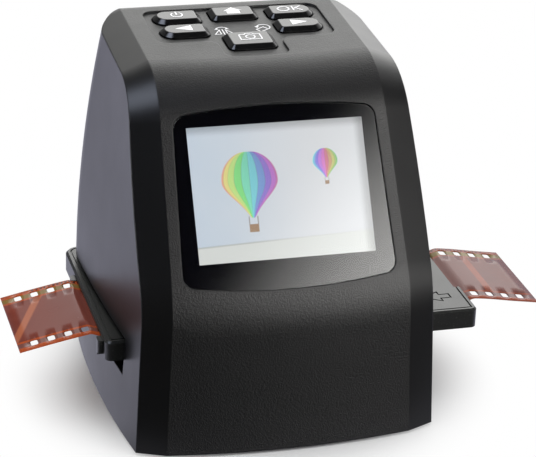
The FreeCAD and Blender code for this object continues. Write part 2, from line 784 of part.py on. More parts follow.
def recess_block():
    """The shallow T-shaped recess round the keys."""
    mid = RECESS_STEP
    corners = [(-RECESS_TONGUE_X, RECESS_FRONT), (RECESS_TONGUE_X, RECESS_FRONT),
               (RECESS_TONGUE_X, mid), (RECESS_X, mid), (RECESS_X, RECESS_REAR),
               (-RECESS_X, RECESS_REAR), (-RECESS_X, mid), (-RECESS_TONGUE_X, mid)]
    low = KEY_BOARD_Z
    block = plate(corners, [RECESS_R] * len(corners), low, BODY_TOP_Z + REAR_CORNER_R)
    return block.common(over_panel(RECESS_DEPTH))


def tact_switches():
    """One switch under each key."""
    made = []
    for size in key_outlines().values():
        x, y = key_centre(size)
        half = SWITCH_SIDE / 2
        base = KEY_BOARD_Z + BOARD_T
        body = box(x - half, x + half, y - half, y + half, base, base + SWITCH_H)
        button = rod(SWITCH_BUTTON_R, V(x, y, base + SWITCH_H), V(x, y, SWITCH_TOP))
        made.append(body.fuse(button))
    return group(made)


def both_sides(*places):
    """Mirror (x, y) places to both sides."""
    return [(s * x, y) for x, y in places for s in (-1, 1)]


KEY_POSTS = both_sides(KEY_POST_FRONT, KEY_POST_REAR)
MAIN_POSTS = both_sides(MAIN_POST_FRONT, MAIN_POST_REAR)
BASE_BOSSES = both_sides(BASE_BOSS_FRONT, BASE_BOSS_REAR)
FEET = both_sides(FOOT_FRONT, FOOT_REAR)
LEGS = both_sides(LEG_FRONT, LEG_REAR)


def holes(places, r, z0, z1):
    """Upright round holes."""
    return fuse([rod(r, V(x, y, z0), V(x, y, z1)) for x, y in places])


def key_board():
    """Board that carries the switches."""
    top = KEY_BOARD_Z + BOARD_T
    board = rounded_block(-KEY_BOARD_X, KEY_BOARD_X, *KEY_BOARD_Y, KEY_BOARD_Z, top, KEY_BOARD_R)
    return board.cut(holes(KEY_POSTS, SCREW_R, KEY_BOARD_Z - OVER, top + OVER))


def key_board_screws():
    """Four screws up into the top panel's posts."""
    return group([screw(V(x, y, KEY_BOARD_Z + KEY_SCREW_LENGTH), -Z, KEY_SCREW_LENGTH)
                  for x, y in KEY_POSTS])


# Rear opening and cover

def rear_plate(shrink, ends, y0, y1):
    """Tapered plate in the rear wall, smaller by shrink at the sides and by ends above and below."""
    z0 = REAR_COVER_Z[0] + ends
    z1 = REAR_COVER_Z[1] - ends
    low = REAR_COVER_LOW_X - shrink
    top = REAR_COVER_TOP_X - shrink
    outline = rounded_outline([V(-low, y0, z0), V(low, y0, z0), V(top, y0, z1), V(-top, y0, z1)],
                              [REAR_CORNER] * 4)
    return Part.Face(outline).extrude(V(0, y1 - y0, 0))


REAR_SCREWS = [(s * REAR_SCREW_X, z) for s in (-1, 1)
               for z in (REAR_COVER_Z[0] + REAR_SCREW_IN, REAR_COVER_Z[1] - REAR_SCREW_IN)]


def port_cuts(grow):
    """Openings for the three sockets in the rear."""
    y0 = SOCKET_FACE_Y - REAR_BOSS_DEEP
    y1 = REAR_Y + OVER
    sd = box(SD_X[0] - grow, SD_X[1] + grow, y0, y1, BOARD_TOP - grow, BOARD_TOP + SD_H + grow)
    usb = box(USB_X[0] - grow, USB_X[1] + grow, y0, y1, BOARD_TOP - grow, BOARD_TOP + USB_H + grow)
    jack = rod(JACK_COLLAR_R + grow, V(JACK_X, y0, JACK_Z), V(JACK_X, y1, JACK_Z))
    return [sd, usb, jack]


def rear_cover():
    """Plate in the rear wall, with the sockets' openings and four screw holes."""
    cover = rear_plate(REAR_FIT, REAR_FIT, REAR_Y - REAR_T, REAR_Y)
    for cut in port_cuts(PORT_GAP):
        cover = cover.cut(cut)
    for x, z in REAR_SCREWS:
        cover = cover.cut(rod(SCREW_R, V(x, REAR_Y - WALL, z), V(x, REAR_Y + OVER, z)))
    return cover


def rear_cover_screws():
    """Four screws that hold the rear cover."""
    return group([screw(V(x, REAR_Y - REAR_SCREW_LENGTH, z), Y, REAR_SCREW_LENGTH)
                  for x, z in REAR_SCREWS])


# Housing

def housing_shell():
    """The moulding: walls, window, key openings, tray slots, rear opening, posts and bosses."""
    outer = housing_form(0.0, True)
    outer = outer.cut(slab(-BODY_TOP_Z, FOOT_GAP))
    cavity = housing_form(WALL, False)
    shell = outer.cut(cavity)
    shell = shell.fuse([boss.common(outer) for boss in housing_bosses()])
    cuts = [lean(pane_block(PANE_GAP, -BEND_R, TAPE_DEPTH + TAPE_T)),
            lean(screen_block(OPEN_X, OPEN_V, 0, LCD_DEPTH, OPEN_R)),
            recess_block(),
            tray_slot(),
            rear_plate(0.0, 0.0, REAR_Y - REAR_T, REAR_Y + OVER),
            rear_plate(REAR_LEDGE_SIDE, REAR_LEDGE_END, REAR_Y - WALL - OVER, REAR_Y)]
    for size in key_outlines().values():
        cuts.append(key_prism(size, KEY_GAP, MAIN_BOARD_Z, BODY_TOP_Z + REAR_CORNER_R))
    shell = shell.cut(cuts)
    return shell.cut(pilot_holes())


def tray_slot():
    """The slot from side to side that the tray slides through."""
    return box(-2 * SIDE_MID_X, 2 * SIDE_MID_X, TRAY_FRONT - SLOT_END_GAP, TRAY_REAR + SLOT_END_GAP,
               TRAY_BOTTOM - SLOT_LOW_GAP, TRAY_TOP + SLOT_TOP_GAP)


def housing_bosses():
    """Posts that hang from the top and bosses along the base, the screen and the rear."""
    made = []
    high = BODY_TOP_Z + REAR_CORNER_R
    for x, y in KEY_POSTS:
        made.append(rod(KEY_POST_R, V(x, y, KEY_BOARD_Z + BOARD_T), V(x, y, panel_z(y))))
    for x, y in MAIN_POSTS:
        made.append(rod(MAIN_POST_R, V(x, y, BOARD_TOP), V(x, y, panel_z(y))))
    for x, y in BASE_BOSSES:
        made.append(rod(BASE_BOSS_R, V(x, y, BASE_TOP), V(x, y, BASE_BOSS_TOP)))
        x0, x1 = sorted((x, math.copysign(side_x(y, 0), x)))
        half = BASE_RIB_T / 2
        made.append(box(x0, x1, y - half, y + half, BASE_TOP, BASE_BOSS_TOP))
    for x, v in LCD_BOSS_PLACES:
        made.append(lean(rod(LCD_BOSS_R, V(x, PANE_T, v), V(x, BRACKET_DEPTH, v))))
    for x, z in REAR_SCREWS:
        y1 = REAR_Y - REAR_T
        made.append(rod(REAR_BOSS_R, V(x, y1 - REAR_BOSS_DEEP, z), V(x, y1, z)))
    return made


def pilot_holes():
    """Screw holes in the posts and bosses."""
    made = []
    for x, y in KEY_POSTS:
        made.append(rod(SCREW_R, V(x, y, KEY_BOARD_Z), V(x, y, KEY_BOARD_Z + KEY_SCREW_LENGTH)))
    for x, y in MAIN_POSTS:
        made.append(rod(SCREW_R, V(x, y, MAIN_BOARD_Z), V(x, y, MAIN_BOARD_Z + MAIN_SCREW_LENGTH)))
    for x, y in BASE_BOSSES:
        made.append(rod(SCREW_R, V(x, y, BASE_LOW), V(x, y, BASE_SEAT + BASE_SCREW_LENGTH)))
    for x, v in LCD_BOSS_PLACES:
        back = BRACKET_DEPTH + BRACKET_T
        made.append(lean(rod(SCREW_R, V(x, back - LCD_SCREW_LENGTH, v), V(x, back, v))))
    for x, z in REAR_SCREWS:
        made.append(rod(SCREW_R, V(x, REAR_Y - REAR_SCREW_LENGTH, z), V(x, REAR_Y, z)))
    return made


# Base

def base_cover():
    """Floor of the scanner, with seats for the feet, the screws and the lamp board."""
    floor = housing_form(WALL + BASE_FIT, False)
    floor = floor.common(slab(BASE_LOW, BASE_TOP))
    posts = [rod(LED_POST_R, V(x, y, BASE_TOP), V(x, y, LED_BOARD_Z))
             for x, y in both_sides((LED_POST_X, -LED_POST_Y), (LED_POST_X, LED_POST_Y))]
    floor = fuse([floor] + posts)
    cuts = [rod(FOOT_R, V(x, y, 0), V(x, y, BASE_LOW + FOOT_SINK)) for x, y in FEET]
    for x, y in BASE_BOSSES + LEGS:
        cuts.append(rod(SCREW_R, V(x, y, 0), V(x, y, BASE_TOP + OVER)))
        cuts.append(rod(SCREW_HEAD_R + BASE_FIT, V(x, y, 0), V(x, y, BASE_SEAT)))
    return floor.cut(cuts)


def foot_pads():
    """Four rubber discs."""
    return group([rod(FOOT_R, V(x, y, 0), V(x, y, BASE_LOW + FOOT_SINK)) for x, y in FEET])


def base_screws():
    """Four screws up into the housing."""
    tip = BASE_SEAT + BASE_SCREW_LENGTH
    return group([screw(V(x, y, tip), -Z, BASE_SCREW_LENGTH) for x, y in BASE_BOSSES])


def leg_screws():
    """Four screws up into the lower guide's legs."""
    tip = BASE_SEAT + LEG_SCREW_LENGTH
    return group([screw(V(x, y, tip), -Z, LEG_SCREW_LENGTH) for x, y in LEGS])


# Film guides

GUIDE_SCREWS = both_sides((GUIDE_SCREW_X, RAIL_FRONT - GUIDE_RAIL / 2),
                          (GUIDE_SCREW_X, RAIL_REAR + GUIDE_RAIL / 2))


def guide_plate(z0, z1):
    """Outline that the two guides share."""
    corners = rectangle(-GUIDE_X, GUIDE_X, RAIL_FRONT - GUIDE_RAIL, RAIL_REAR + GUIDE_RAIL)
    return plate(corners, [GUIDE_FRONT_R, GUIDE_FRONT_R, GUIDE_R, GUIDE_R], z0, z1)


def guide_opening(z0, z1):
    """Light path through the guides."""
    return rounded_block(-GUIDE_OPEN_X, GUIDE_OPEN_X, -GUIDE_OPEN_Y, GUIDE_OPEN_Y, z0, z1, OPEN_R)


def lower_guide():
    """Track that the tray rests on, with two rails and four legs."""
    track = guide_plate(GUIDE_LOW, GUIDE_TOP)
    x = GUIDE_RAIL_X
    rails = [box(-x, x, RAIL_FRONT - GUIDE_RAIL, RAIL_FRONT, GUIDE_LOW, ROOF_LOW),
             box(-x, x, RAIL_REAR, RAIL_REAR + GUIDE_RAIL, GUIDE_LOW, ROOF_LOW)]
    legs = [rod(LEG_R, V(a, b, BASE_TOP), V(a, b, GUIDE_LOW)) for a, b in LEGS]
    track = fuse([track] + rails + legs)
    cuts = [guide_opening(GUIDE_LOW - OVER, GUIDE_TOP + OVER), spring_bed()]
    for a, b in LEGS:
        cuts.append(rod(SCREW_R, V(a, b, BASE_LOW), V(a, b, BASE_SEAT + LEG_SCREW_LENGTH)))
    for a, b in GUIDE_SCREWS:
        cuts.append(rod(FINE_SCREW_R, V(a, b, ROOF_TOP - GUIDE_SCREW_LENGTH), V(a, b, ROOF_TOP)))
    return track.cut(cuts)


def upper_guide():
    """Roof over the tray, which carries the optical tower."""
    roof = guide_plate(ROOF_LOW, ROOF_TOP)
    cuts = [guide_opening(ROOF_LOW - OVER, ROOF_TOP + OVER)]
    for a, b in GUIDE_SCREWS:
        cuts.append(rod(FINE_SCREW_R, V(a, b, ROOF_LOW - OVER), V(a, b, ROOF_TOP + OVER)))
    for a, b in TOWER_SCREWS:
        cuts.append(rod(FINE_SCREW_R, V(a, b, ROOF_LOW - OVER), V(a, b, ROOF_TOP + OVER)))
    return roof.cut(cuts)


def fine_screws(places, tip_z, length):
    """Small screws driven downwards, from their tips' height."""
    made = []
    for x, y in places:
        tip = V(x, y, tip_z)
        seat = tip + Z * length
        shank = rod(FINE_SCREW_R, tip, seat)
        made.append(shank.fuse(rod(FINE_HEAD_R, seat, seat + Z * FINE_HEAD_H)))
    return group(made)


def guide_screws():
    """Four small screws through the roof into the rails."""
    return fine_screws(GUIDE_SCREWS, ROOF_TOP - GUIDE_SCREW_LENGTH, GUIDE_SCREW_LENGTH)


def spring_bed():
    """Shallow bed for the detent spring in the lower guide."""
    half = SPRING_W / 2 + BASE_FIT
    x = SPRING_X + BASE_FIT
    return box(-x, x, SPRING_Y - half, SPRING_Y + half, GUIDE_TOP - SPRING_BED, GUIDE_TOP + OVER)


def strip(points, thick, start, width, way):
    """A bent flat strip: a middle line, given a thickness and pushed out sideways."""
    lefts = []
    rights = []
    last = len(points) - 1
    for i, p in enumerate(points):
        before = (p - points[i - 1]).normalize() if i else None
        after = (points[i + 1] - p).normalize() if i < last else None
        a = before or after
        b = after or before
        normal = (way.cross(a) + way.cross(b)).normalize()
        reach = thick / 2 / max(normal.dot(way.cross(a).normalize()), SHARP_SHARE)
        lefts.append(p + normal * reach)
        rights.append(p - normal * reach)
    loop = lefts + rights[::-1]
    loop.append(loop[0])
    face = Part.Face(Part.makePolygon(loop))
    return face.extrude(way * width).translated(way * start)


def tray_spring():
    """Leaf spring whose bump rides in the groove under the tray."""
    low = GUIDE_TOP - SPRING_BED + SPRING_T / 2
    high = low + SPRING_LIFT
    half = SPRING_X
    line = [V(-half, 0, low), V(-half / 2, 0, low), V(-half / 4, 0, high), V(half / 4, 0, high),
            V(half / 2, 0, low), V(half, 0, low)]
    return strip(line, SPRING_T, SPRING_Y - SPRING_W / 2, SPRING_W, Y)


# Lamp

def light_box():
    """White frame that spreads the lamps' light."""
    frame = box(-LAMP_X, LAMP_X, -LAMP_Y, LAMP_Y, LAMP_LOW, LAMP_HIGH)
    x = LAMP_X - LAMP_WALL
    y = LAMP_Y - LAMP_WALL
    frame = frame.cut(box(-x, x, -y, y, LAMP_LOW - OVER, LAMP_HIGH + OVER))
    frame = frame.cut(box(LEAD_X - LEAD_NOTCH, LEAD_X + LEAD_NOTCH, -LAMP_Y - OVER,
                          LEAD_START_Y + LEAD_R, LAMP_LOW, LAMP_LOW + LEAD_NOTCH))
    return frame.cut(box(-DIFFUSER_X, DIFFUSER_X, -DIFFUSER_Y, DIFFUSER_Y,
                         LAMP_HIGH - DIFFUSER_H, LAMP_HIGH + OVER))


def diffuser():
    """Opal plate on top of the light box."""
    x = DIFFUSER_X - DIFFUSER_FIT
    y = DIFFUSER_Y - DIFFUSER_FIT
    return box(-x, x, -y, y, LAMP_HIGH - DIFFUSER_H, LAMP_HIGH)


def led_board():
    """Board under the light box."""
    return rounded_block(-LED_BOARD_X, LED_BOARD_X, -LED_BOARD_Y, LED_BOARD_Y, LED_BOARD_Z,
                         LAMP_LOW, OPEN_R)


def leds():
    """Three rows of three white lamps."""
    made = []
    for i in (-1, 0, 1):
        for j in (-1, 0, 1):
            x = i * LED_STEP_X
            y = j * LED_STEP_Y
            made.append(box(x - LED_X / 2, x + LED_X / 2, y - LED_Y / 2, y + LED_Y / 2,
                            LAMP_LOW, LAMP_LOW + LED_H))
    return group(made)


# Optics

TOWER_SCREWS = both_sides((TOWER_SCREW_X, -TOWER_SCREW_Y), (TOWER_SCREW_X, TOWER_SCREW_Y))


def tower_loft(inset, z0, z1):
    """Tapering square tube, from the guide's opening to the lens."""
    low = Part.makePolygon([V(x, y, z0) for x, y in rectangle_loop(TOWER_LOW_X - inset,
                                                                    TOWER_LOW_Y - inset)])
    high = Part.makePolygon([V(x, y, z1) for x, y in rectangle_loop(TOWER_TOP - inset,
                                                                     TOWER_TOP - inset)])
    return Part.makeLoft([low, high], True, True)


def rectangle_loop(x, y):
    """Corners of a centred rectangle, closed."""
    corners = rectangle(-x, x, -y, y)
    return corners + corners[:1]


def optical_tower():
    """Black tube that keeps stray light off the sensor."""
    flange_top = ROOF_TOP + TOWER_FLANGE_T
    roof = TOWER_TOP_Z - TOWER_WALL
    body = rounded_block(-TOWER_FLANGE_X, TOWER_FLANGE_X, -TOWER_FLANGE_Y, TOWER_FLANGE_Y,
                         ROOF_TOP, flange_top, OPEN_R)
    body = body.fuse([tower_loft(0.0, ROOF_TOP, roof),
                      box(-TOWER_TOP, TOWER_TOP, -TOWER_TOP, TOWER_TOP, roof, TOWER_TOP_Z)])
    body = body.removeSplitter()
    cuts = [tower_loft(TOWER_WALL, ROOF_TOP, roof),
            rod(BARREL_R + GAP, V(0, 0, roof - OVER), V(0, 0, TOWER_TOP_Z + OVER))]
    for x, y in TOWER_SCREWS:
        cuts.append(rod(FINE_SCREW_R, V(x, y, ROOF_TOP - OVER), V(x, y, flange_top + OVER)))
    return body.cut(cuts)


def tower_screws():
    """Four small screws through the tower's flange."""
    length = TOWER_FLANGE_T + GUIDE_T
    return fine_screws(TOWER_SCREWS, ROOF_LOW, length)


def lens_holder():
    """Threaded tube and sensor housing on top of the tower."""
    tube = rod(HOLDER_TUBE_R, V(0, 0, TOWER_TOP_Z), V(0, 0, HOLDER_BLOCK_Z))
    b = HOLDER_BLOCK
    block = box(-b, b, -b, b, HOLDER_BLOCK_Z, SENSOR_BOARD_Z)
    ears = box(-HOLDER_EAR_X, HOLDER_EAR_X, -HOLDER_EAR_Y, HOLDER_EAR_Y,
               SENSOR_BOARD_Z - HOLDER_EAR_T, SENSOR_BOARD_Z)
    c = HOLDER_CAVITY
    shelf = HOLDER_BLOCK_Z + HOLDER_STEP
    body = fuse([tube, block, ears])
    cuts = [rod(BARREL_R + BARREL_FIT, V(0, 0, TOWER_TOP_Z - OVER), V(0, 0, HOLDER_BLOCK_Z)),
            rod(HOLDER_STEP_R, V(0, 0, TOWER_TOP_Z), V(0, 0, SENSOR_BOARD_Z)),
            box(-c, c, -c, c, shelf, SENSOR_BOARD_Z + OVER)]
    for x, y in both_sides((HOLDER_SCREW_X, 0)):
        ear = SENSOR_BOARD_Z - HOLDER_EAR_T
        cuts.append(rod(FINE_SCREW_R, V(x, y, ear), V(x, y, SENSOR_BOARD_Z)))
    return body.cut(cuts)


def lens_barrel():
    """Tube with seats for the two lenses and a stop between them."""
    z0 = BARREL_LOW
    z1 = BARREL_LOW + BARREL_H
    body = rod(BARREL_R, V(0, 0, z0), V(0, 0, z1))
    return body.cut([rod(BARREL_FRONT_R, V(0, 0, z0 - OVER), V(0, 0, STOP_LOW)),
                     rod(BARREL_STOP_R, V(0, 0, z0), V(0, 0, z1)),
                     rod(BARREL_REAR_R, V(0, 0, STOP_HIGH), V(0, 0, z1 + OVER))])


def front_lens():
    """Larger lens, against the stop's lower side."""
    return lens(BARREL_FRONT_R - LENS_FIT, STOP_LOW - FRONT_LENS_T, STOP_LOW)


def rear_lens():
    """Smaller lens, against the stop's upper side."""
    return lens(BARREL_REAR_R - LENS_FIT, STOP_HIGH, STOP_HIGH + REAR_LENS_T)


def lens(r, z0, z1):
    """A lens whose two faces bulge."""
    ball = (r ** 2 + LENS_BULGE ** 2) / (2 * LENS_BULGE)
    disc = rod(r, V(0, 0, z0), V(0, 0, z1))
    disc = disc.common(Part.makeSphere(ball, V(0, 0, z0 + ball)))
    return disc.common(Part.makeSphere(ball, V(0, 0, z1 - ball)))


def infrared_filter():
    """Thin plate between the lens and the sensor."""
    c = HOLDER_CAVITY - BARREL_FIT
    shelf = HOLDER_BLOCK_Z + HOLDER_STEP
    return box(-c, c, -c, c, shelf, shelf + FILTER_T)


def image_sensor():
    """Chip on the underside of the sensor board."""
    return box(-SENSOR_X, SENSOR_X, -SENSOR_Y, SENSOR_Y, SENSOR_BOARD_Z - SENSOR_H, SENSOR_BOARD_Z)


def sensor_board():
    """Board that carries the image sensor."""
    top = SENSOR_BOARD_Z + BOARD_T
    board = rounded_block(-SENSOR_BOARD_X, SENSOR_BOARD_X, *SENSOR_BOARD_Y, SENSOR_BOARD_Z, top,
                          SENSOR_BOARD_R)
    return board.cut(holes(both_sides((HOLDER_SCREW_X, 0)), FINE_SCREW_R, SENSOR_BOARD_Z - OVER,
                           top + OVER))


def sensor_screws():
    """Two small screws through the sensor board."""
    length = BOARD_T + HOLDER_EAR_T
    return fine_screws(both_sides((HOLDER_SCREW_X, 0)), SENSOR_BOARD_Z - HOLDER_EAR_T, length)


# Main board

def main_board():
    """Board with the processor and the sockets."""
    x = MAIN_BOARD_X
    corners = rectangle(-x, x, *MAIN_BOARD_Y)
    radii = [MAIN_BOARD_FRONT_R] * 2 + [MAIN_BOARD_REAR_R] * 2
    board = plate(corners, radii, MAIN_BOARD_Z, BOARD_TOP)
    return board.cut(holes(MAIN_POSTS, SCREW_R, MAIN_BOARD_Z - OVER, BOARD_TOP + OVER))


def main_board_screws():
    """Four screws up into the long posts."""
    return group([screw(V(x, y, MAIN_BOARD_Z + MAIN_SCREW_LENGTH), -Z, MAIN_SCREW_LENGTH)
                  for x, y in MAIN_POSTS])


def block_at(place, x, y, z0, z1):
    """A block centred on an (x, y) place."""
    a, b = place
    return box(a - x / 2, a + x / 2, b - y / 2, b + y / 2, z0, z1)


def processor_chip():
    return block_at(CHIP_AT, CHIP_SIDE, CHIP_SIDE, BOARD_TOP, BOARD_TOP + CHIP_H)


def memory_chips():
    return group([block_at(p, MEMORY_X, MEMORY_Y, BOARD_TOP, BOARD_TOP + MEMORY_H) for p in MEMORY_AT])


def power_coil():
    return block_at(COIL_AT, COIL_SIDE, COIL_SIDE, BOARD_TOP, BOARD_TOP + COIL_H)


def capacitors():
    return group([rod(CAP_R, V(x, y, MAIN_BOARD_Z - CAP_H), V(x, y, MAIN_BOARD_Z)) for x, y in CAP_AT])


def sd_socket():
    """Sheet metal socket for a memory card."""
    y1 = SOCKET_FACE_Y
    y0 = y1 - SD_DEEP
    top = BOARD_TOP + SD_H
    shell = box(*SD_X, y0, y1, BOARD_TOP, top)
    w = SD_WALL
    return shell.cut(box(SD_X[0] + w, SD_X[1] - w, y1 - SD_CARD_DEEP, y1 + OVER,
                         BOARD_TOP + w, top - w))


def usb_socket():
    """Small USB socket with its tongue."""
    y1 = SOCKET_FACE_Y
    y0 = y1 - USB_DEEP
    top = BOARD_TOP + USB_H
    w = USB_WALL
    shell = box(*USB_X, y0, y1, BOARD_TOP, top)
    shell = shell.cut(box(USB_X[0] + w, USB_X[1] - w, y0 + 2 * w, y1 + OVER,
                          BOARD_TOP + w, top - w))
    middle = (BOARD_TOP + top) / 2
    tongue = box(USB_X[0] + 3 * w, USB_X[1] - 3 * w, y0, y1 - 2 * w, middle - USB_TONGUE_T / 2,
                 middle + USB_TONGUE_T / 2)
    return fuse([shell, tongue])


def tv_jack():
    """Round jack for a television lead."""
    y1 = SOCKET_FACE_Y
    y0 = y1 - JACK_DEEP
    half = JACK_W / 2
    body = box(JACK_X - half, JACK_X + half, y0, y1, BOARD_TOP, BOARD_TOP + JACK_H)
    mouth = y1 + JACK_COLLAR
    body = fuse([body, rod(JACK_COLLAR_R, V(JACK_X, y1, JACK_Z), V(JACK_X, mouth, JACK_Z))])
    deep = V(JACK_X, y0 + JACK_BORE_R, JACK_Z)
    return body.cut(rod(JACK_BORE_R, deep, V(JACK_X, mouth + OVER, JACK_Z)))


# Ribbons and lead

def screen_point(depth, up):
    """Place in the screen's own side view: depth inwards, up along the screen."""
    t = screen_tilt()
    m = pane_middle()
    y = m.y + up * math.sin(t) + depth * math.cos(t)
    return V(0, y, m.z + up * math.cos(t) - depth * math.sin(t))


def lcd_ribbon():
    """From the panel's lower edge, round the bracket, to the main board's front edge."""
    foot = -LCD_H / 2 - LCD_RIM_V
    behind = BRACKET_DEPTH + BRACKET_T + SCREW_HEAD_H
    under = MAIN_BOARD_Z - RIBBON_T / 2
    middle = LCD_DEPTH + LCD_T / 2
    line = [screen_point(middle, foot), screen_point(middle, foot - LCD_T),
            screen_point(behind, foot - LCD_T), screen_point(behind, 0),
            V(0, MAIN_BOARD_Y[0] - RIBBON_W / 5, under), V(0, MAIN_BOARD_Y[0] + RIBBON_W / 2, under)]
    return strip(line, RIBBON_T, LCD_RIBBON_X, RIBBON_W, X)


def key_ribbon():
    """From under the key board round its front edge to the top of the main board."""
    high = KEY_BOARD_Z - RIBBON_T / 2
    low = BOARD_TOP + RIBBON_T / 2
    y0 = KEY_BOARD_Y[0]
    out = y0 - RIBBON_W / 2
    edge = y0 - RIBBON_W / 5
    line = [V(0, y0 + RIBBON_W / 2, high), V(0, edge, high), V(0, out, high - RIBBON_W / 4),
            V(0, out, low + RIBBON_W / 4), V(0, edge, low), V(0, y0 + RIBBON_W / 5, low)]
    return strip(line, RIBBON_T, KEY_RIBBON_X, RIBBON_W, X)


def sensor_ribbon():
    """From the sensor board's rear edge up to the underside of the main board."""
    low = SENSOR_BOARD_Z + BOARD_T + RIBBON_T / 2
    high = MAIN_BOARD_Z - RIBBON_T / 2
    y0 = SENSOR_BOARD_Y[1]
    bend = (high - low) / 3
    near = y0 - RIBBON_W / 3
    past = y0 + RIBBON_W / 3
    far = y0 + RIBBON_W / 2
    line = [V(0, near, low), V(0, past, low), V(0, far, low + bend),
            V(0, far, high - bend), V(0, past, high), V(0, near, high)]
    return strip(line, RIBBON_T, -RIBBON_W / 2, RIBBON_W, X)


def lamp_lead():
    """Two insulated wires from the lamp board up in front of the tower to the main board."""
    made = []
    for s in (-1, 1):
        x = LEAD_X + s * LEAD_R
        z0 = LAMP_LOW + LEAD_R
        z1 = MAIN_BOARD_Z - LEAD_R
        points = [V(x, LEAD_START_Y, z0), V(x, LEAD_FRONT_Y, z0), V(x, LEAD_FRONT_Y, ROOF_TOP),
                  V(x, *LEAD_MID), V(x, *LEAD_END), V(x, LEAD_END[0], z1),
                  V(x, MAIN_BOARD_Y[0] + LEAD_BEND_R, z1)]
        made.append(round_wire(points, LEAD_R, LEAD_BEND_R))
    return group(made)


def round_wire(points, r, bend):
    """A round wire along straight runs joined by tangent arcs."""
    edges = []
    start = points[0]
    for i in range(1, len(points) - 1):
        corner = points[i]
        back = (points[i - 1] - corner).normalize()
        ahead = (points[i + 1] - corner).normalize()
        half = back.getAngle(ahead) / 2
        reach = bend / math.tan(half)
        first = corner + back * reach
        last = corner + ahead * reach
        middle = corner + (back + ahead).normalize() * (bend / math.sin(half) - bend)
        edges.append(Part.LineSegment(start, first).toShape())
        edges.append(Part.Arc(first, middle, last).toShape())
        start = last
    edges.append(Part.LineSegment(start, points[-1]).toShape())
    way = points[1] - points[0]
    section = Part.Wire(Part.makeCircle(r, points[0], way))
    return Part.Wire(edges).makePipeShell([section], True, False)


# Tray and film

def tray_window(grow, z0, z1):
    """Opening over the film's picture."""
    x = FRAME_X / 2 + TRAY_WINDOW_GAP + grow
    y = FRAME_Y / 2 + TRAY_WINDOW_GAP + grow
    return rounded_block(-x, x, -y, y, z0, z1, TRAY_EDGE)


def tray_base():
    """Lower half of the tray: film channel, window, lugs, hinge knuckles and latches."""
    left = TRAY_LEFT
    body = plate(rectangle(left, TRAY_RIGHT, TRAY_FRONT, TRAY_REAR),
                 [GUIDE_FRONT_R, GUIDE_FRONT_R, TRAY_CORNER_R, TRAY_CORNER_R], TRAY_BOTTOM, TRAY_SPLIT)
    half = FILM_W / 2 + GAP
    lug = half + GAP
    for y0 in (-lug - TRAY_LUG_WIDE, lug):
        body = body.fuse(rounded_block(left - TRAY_LUG_OUT, left + TRAY_LUG_OUT, y0, y0 + TRAY_LUG_WIDE,
                                       TRAY_BOTTOM, TRAY_SPLIT, TRAY_LUG_R))
    high = TRAY_SPLIT + OVER
    low = TRAY_BOTTOM - OVER
    cuts = [box(left - OVER, TRAY_RIGHT + OVER, -half, half, CHANNEL_FLOOR, high),
            box(left - OVER, left + TRAY_LEFT_NOTCH, -lug, lug, low, high),
            tray_window(0.0, low, TRAY_SPLIT),
            spring_groove()]
    body = body.cut(cuts)
    for x in HINGE_AT:
        k = HINGE_KNUCKLE / 2
        body = body.fuse(rod(HINGE_R, V(x - k, HINGE_Y, TRAY_SPLIT), V(x + k, HINGE_Y, TRAY_SPLIT)))
    for x in LATCH_AT:
        a = LATCH_X / 2
        body = body.fuse(box(x - a, x + a, TRAY_FRONT, TRAY_FRONT + LATCH_T,
                             TRAY_BOTTOM, TRAY_SPLIT + LATCH_H))
    return body.cut(hinge_pin_rods()).removeSplitter()


def spring_groove():
    """Groove under the tray for the detent spring's bump."""
    half = SPRING_W / 2 + GAP
    top = GUIDE_TOP - SPRING_BED + SPRING_LIFT + SPRING_T + GAP
    return box(TRAY_LEFT - TRAY_LUG_OUT - OVER, TRAY_RIGHT + OVER, SPRING_Y - half, SPRING_Y + half,
               TRAY_BOTTOM - OVER, top)


def hinge_pin_rods():
    """Both hinge pins, which also cut their bores."""
    made = []
    p = HINGE_PIN / 2
    for x in HINGE_AT:
        made.append(rod(HINGE_PIN_R, V(x - p, HINGE_Y, TRAY_SPLIT), V(x + p, HINGE_Y, TRAY_SPLIT)))
    return made


def tray_lid():
    """Upper half of the tray: window, notch for the film, moulded arrow."""
    body = plate(rectangle(TRAY_LEFT, TRAY_RIGHT, TRAY_FRONT, TRAY_REAR),
                 [GUIDE_FRONT_R, GUIDE_FRONT_R, TRAY_CORNER_R, TRAY_CORNER_R], TRAY_SPLIT, TRAY_TOP)
    rim = [e for e in body.Edges if all(v.Z > TRAY_TOP - TRAY_EDGE / 2 for v in e.Vertexes)]
    body = body.makeChamfer(TRAY_EDGE, rim)
    low = TRAY_SPLIT - OVER
    high = TRAY_TOP + OVER
    cuts = [box(TRAY_RIGHT - TRAY_NOTCH, TRAY_RIGHT + OVER, *TRAY_NOTCH_Y, low, high),
            tray_window(GAP, low, high),
            lid_outline(RIM_IN).cut(lid_outline(RIM_IN + RIM_W)),
            arrow()]
    for x in HINGE_AT:
        k = HINGE_KNUCKLE / 2 + DIFFUSER_FIT
        r = HINGE_R + DIFFUSER_FIT
        cuts.append(box(x - k, x + k, HINGE_Y - r, HINGE_Y + r, low, TRAY_SPLIT + r))
    for x in LATCH_AT:
        a = LATCH_X / 2 + DIFFUSER_FIT
        cuts.append(box(x - a, x + a, TRAY_FRONT - OVER, TRAY_FRONT + LATCH_T + DIFFUSER_FIT,
                        low, TRAY_SPLIT + LATCH_H + DIFFUSER_FIT))
    return body.cut(cuts + hinge_pin_rods()).removeSplitter()


def lid_outline(inset):
    """Shallow block inside the lid's edge, for the groove along it."""
    corners = rectangle(TRAY_LEFT + inset, TRAY_RIGHT - inset, TRAY_FRONT + inset, TRAY_REAR - inset)
    rear = TRAY_CORNER_R - inset
    return plate(corners, [0, 0, rear, rear], TRAY_TOP - RIM_DEEP, TRAY_TOP + OVER)


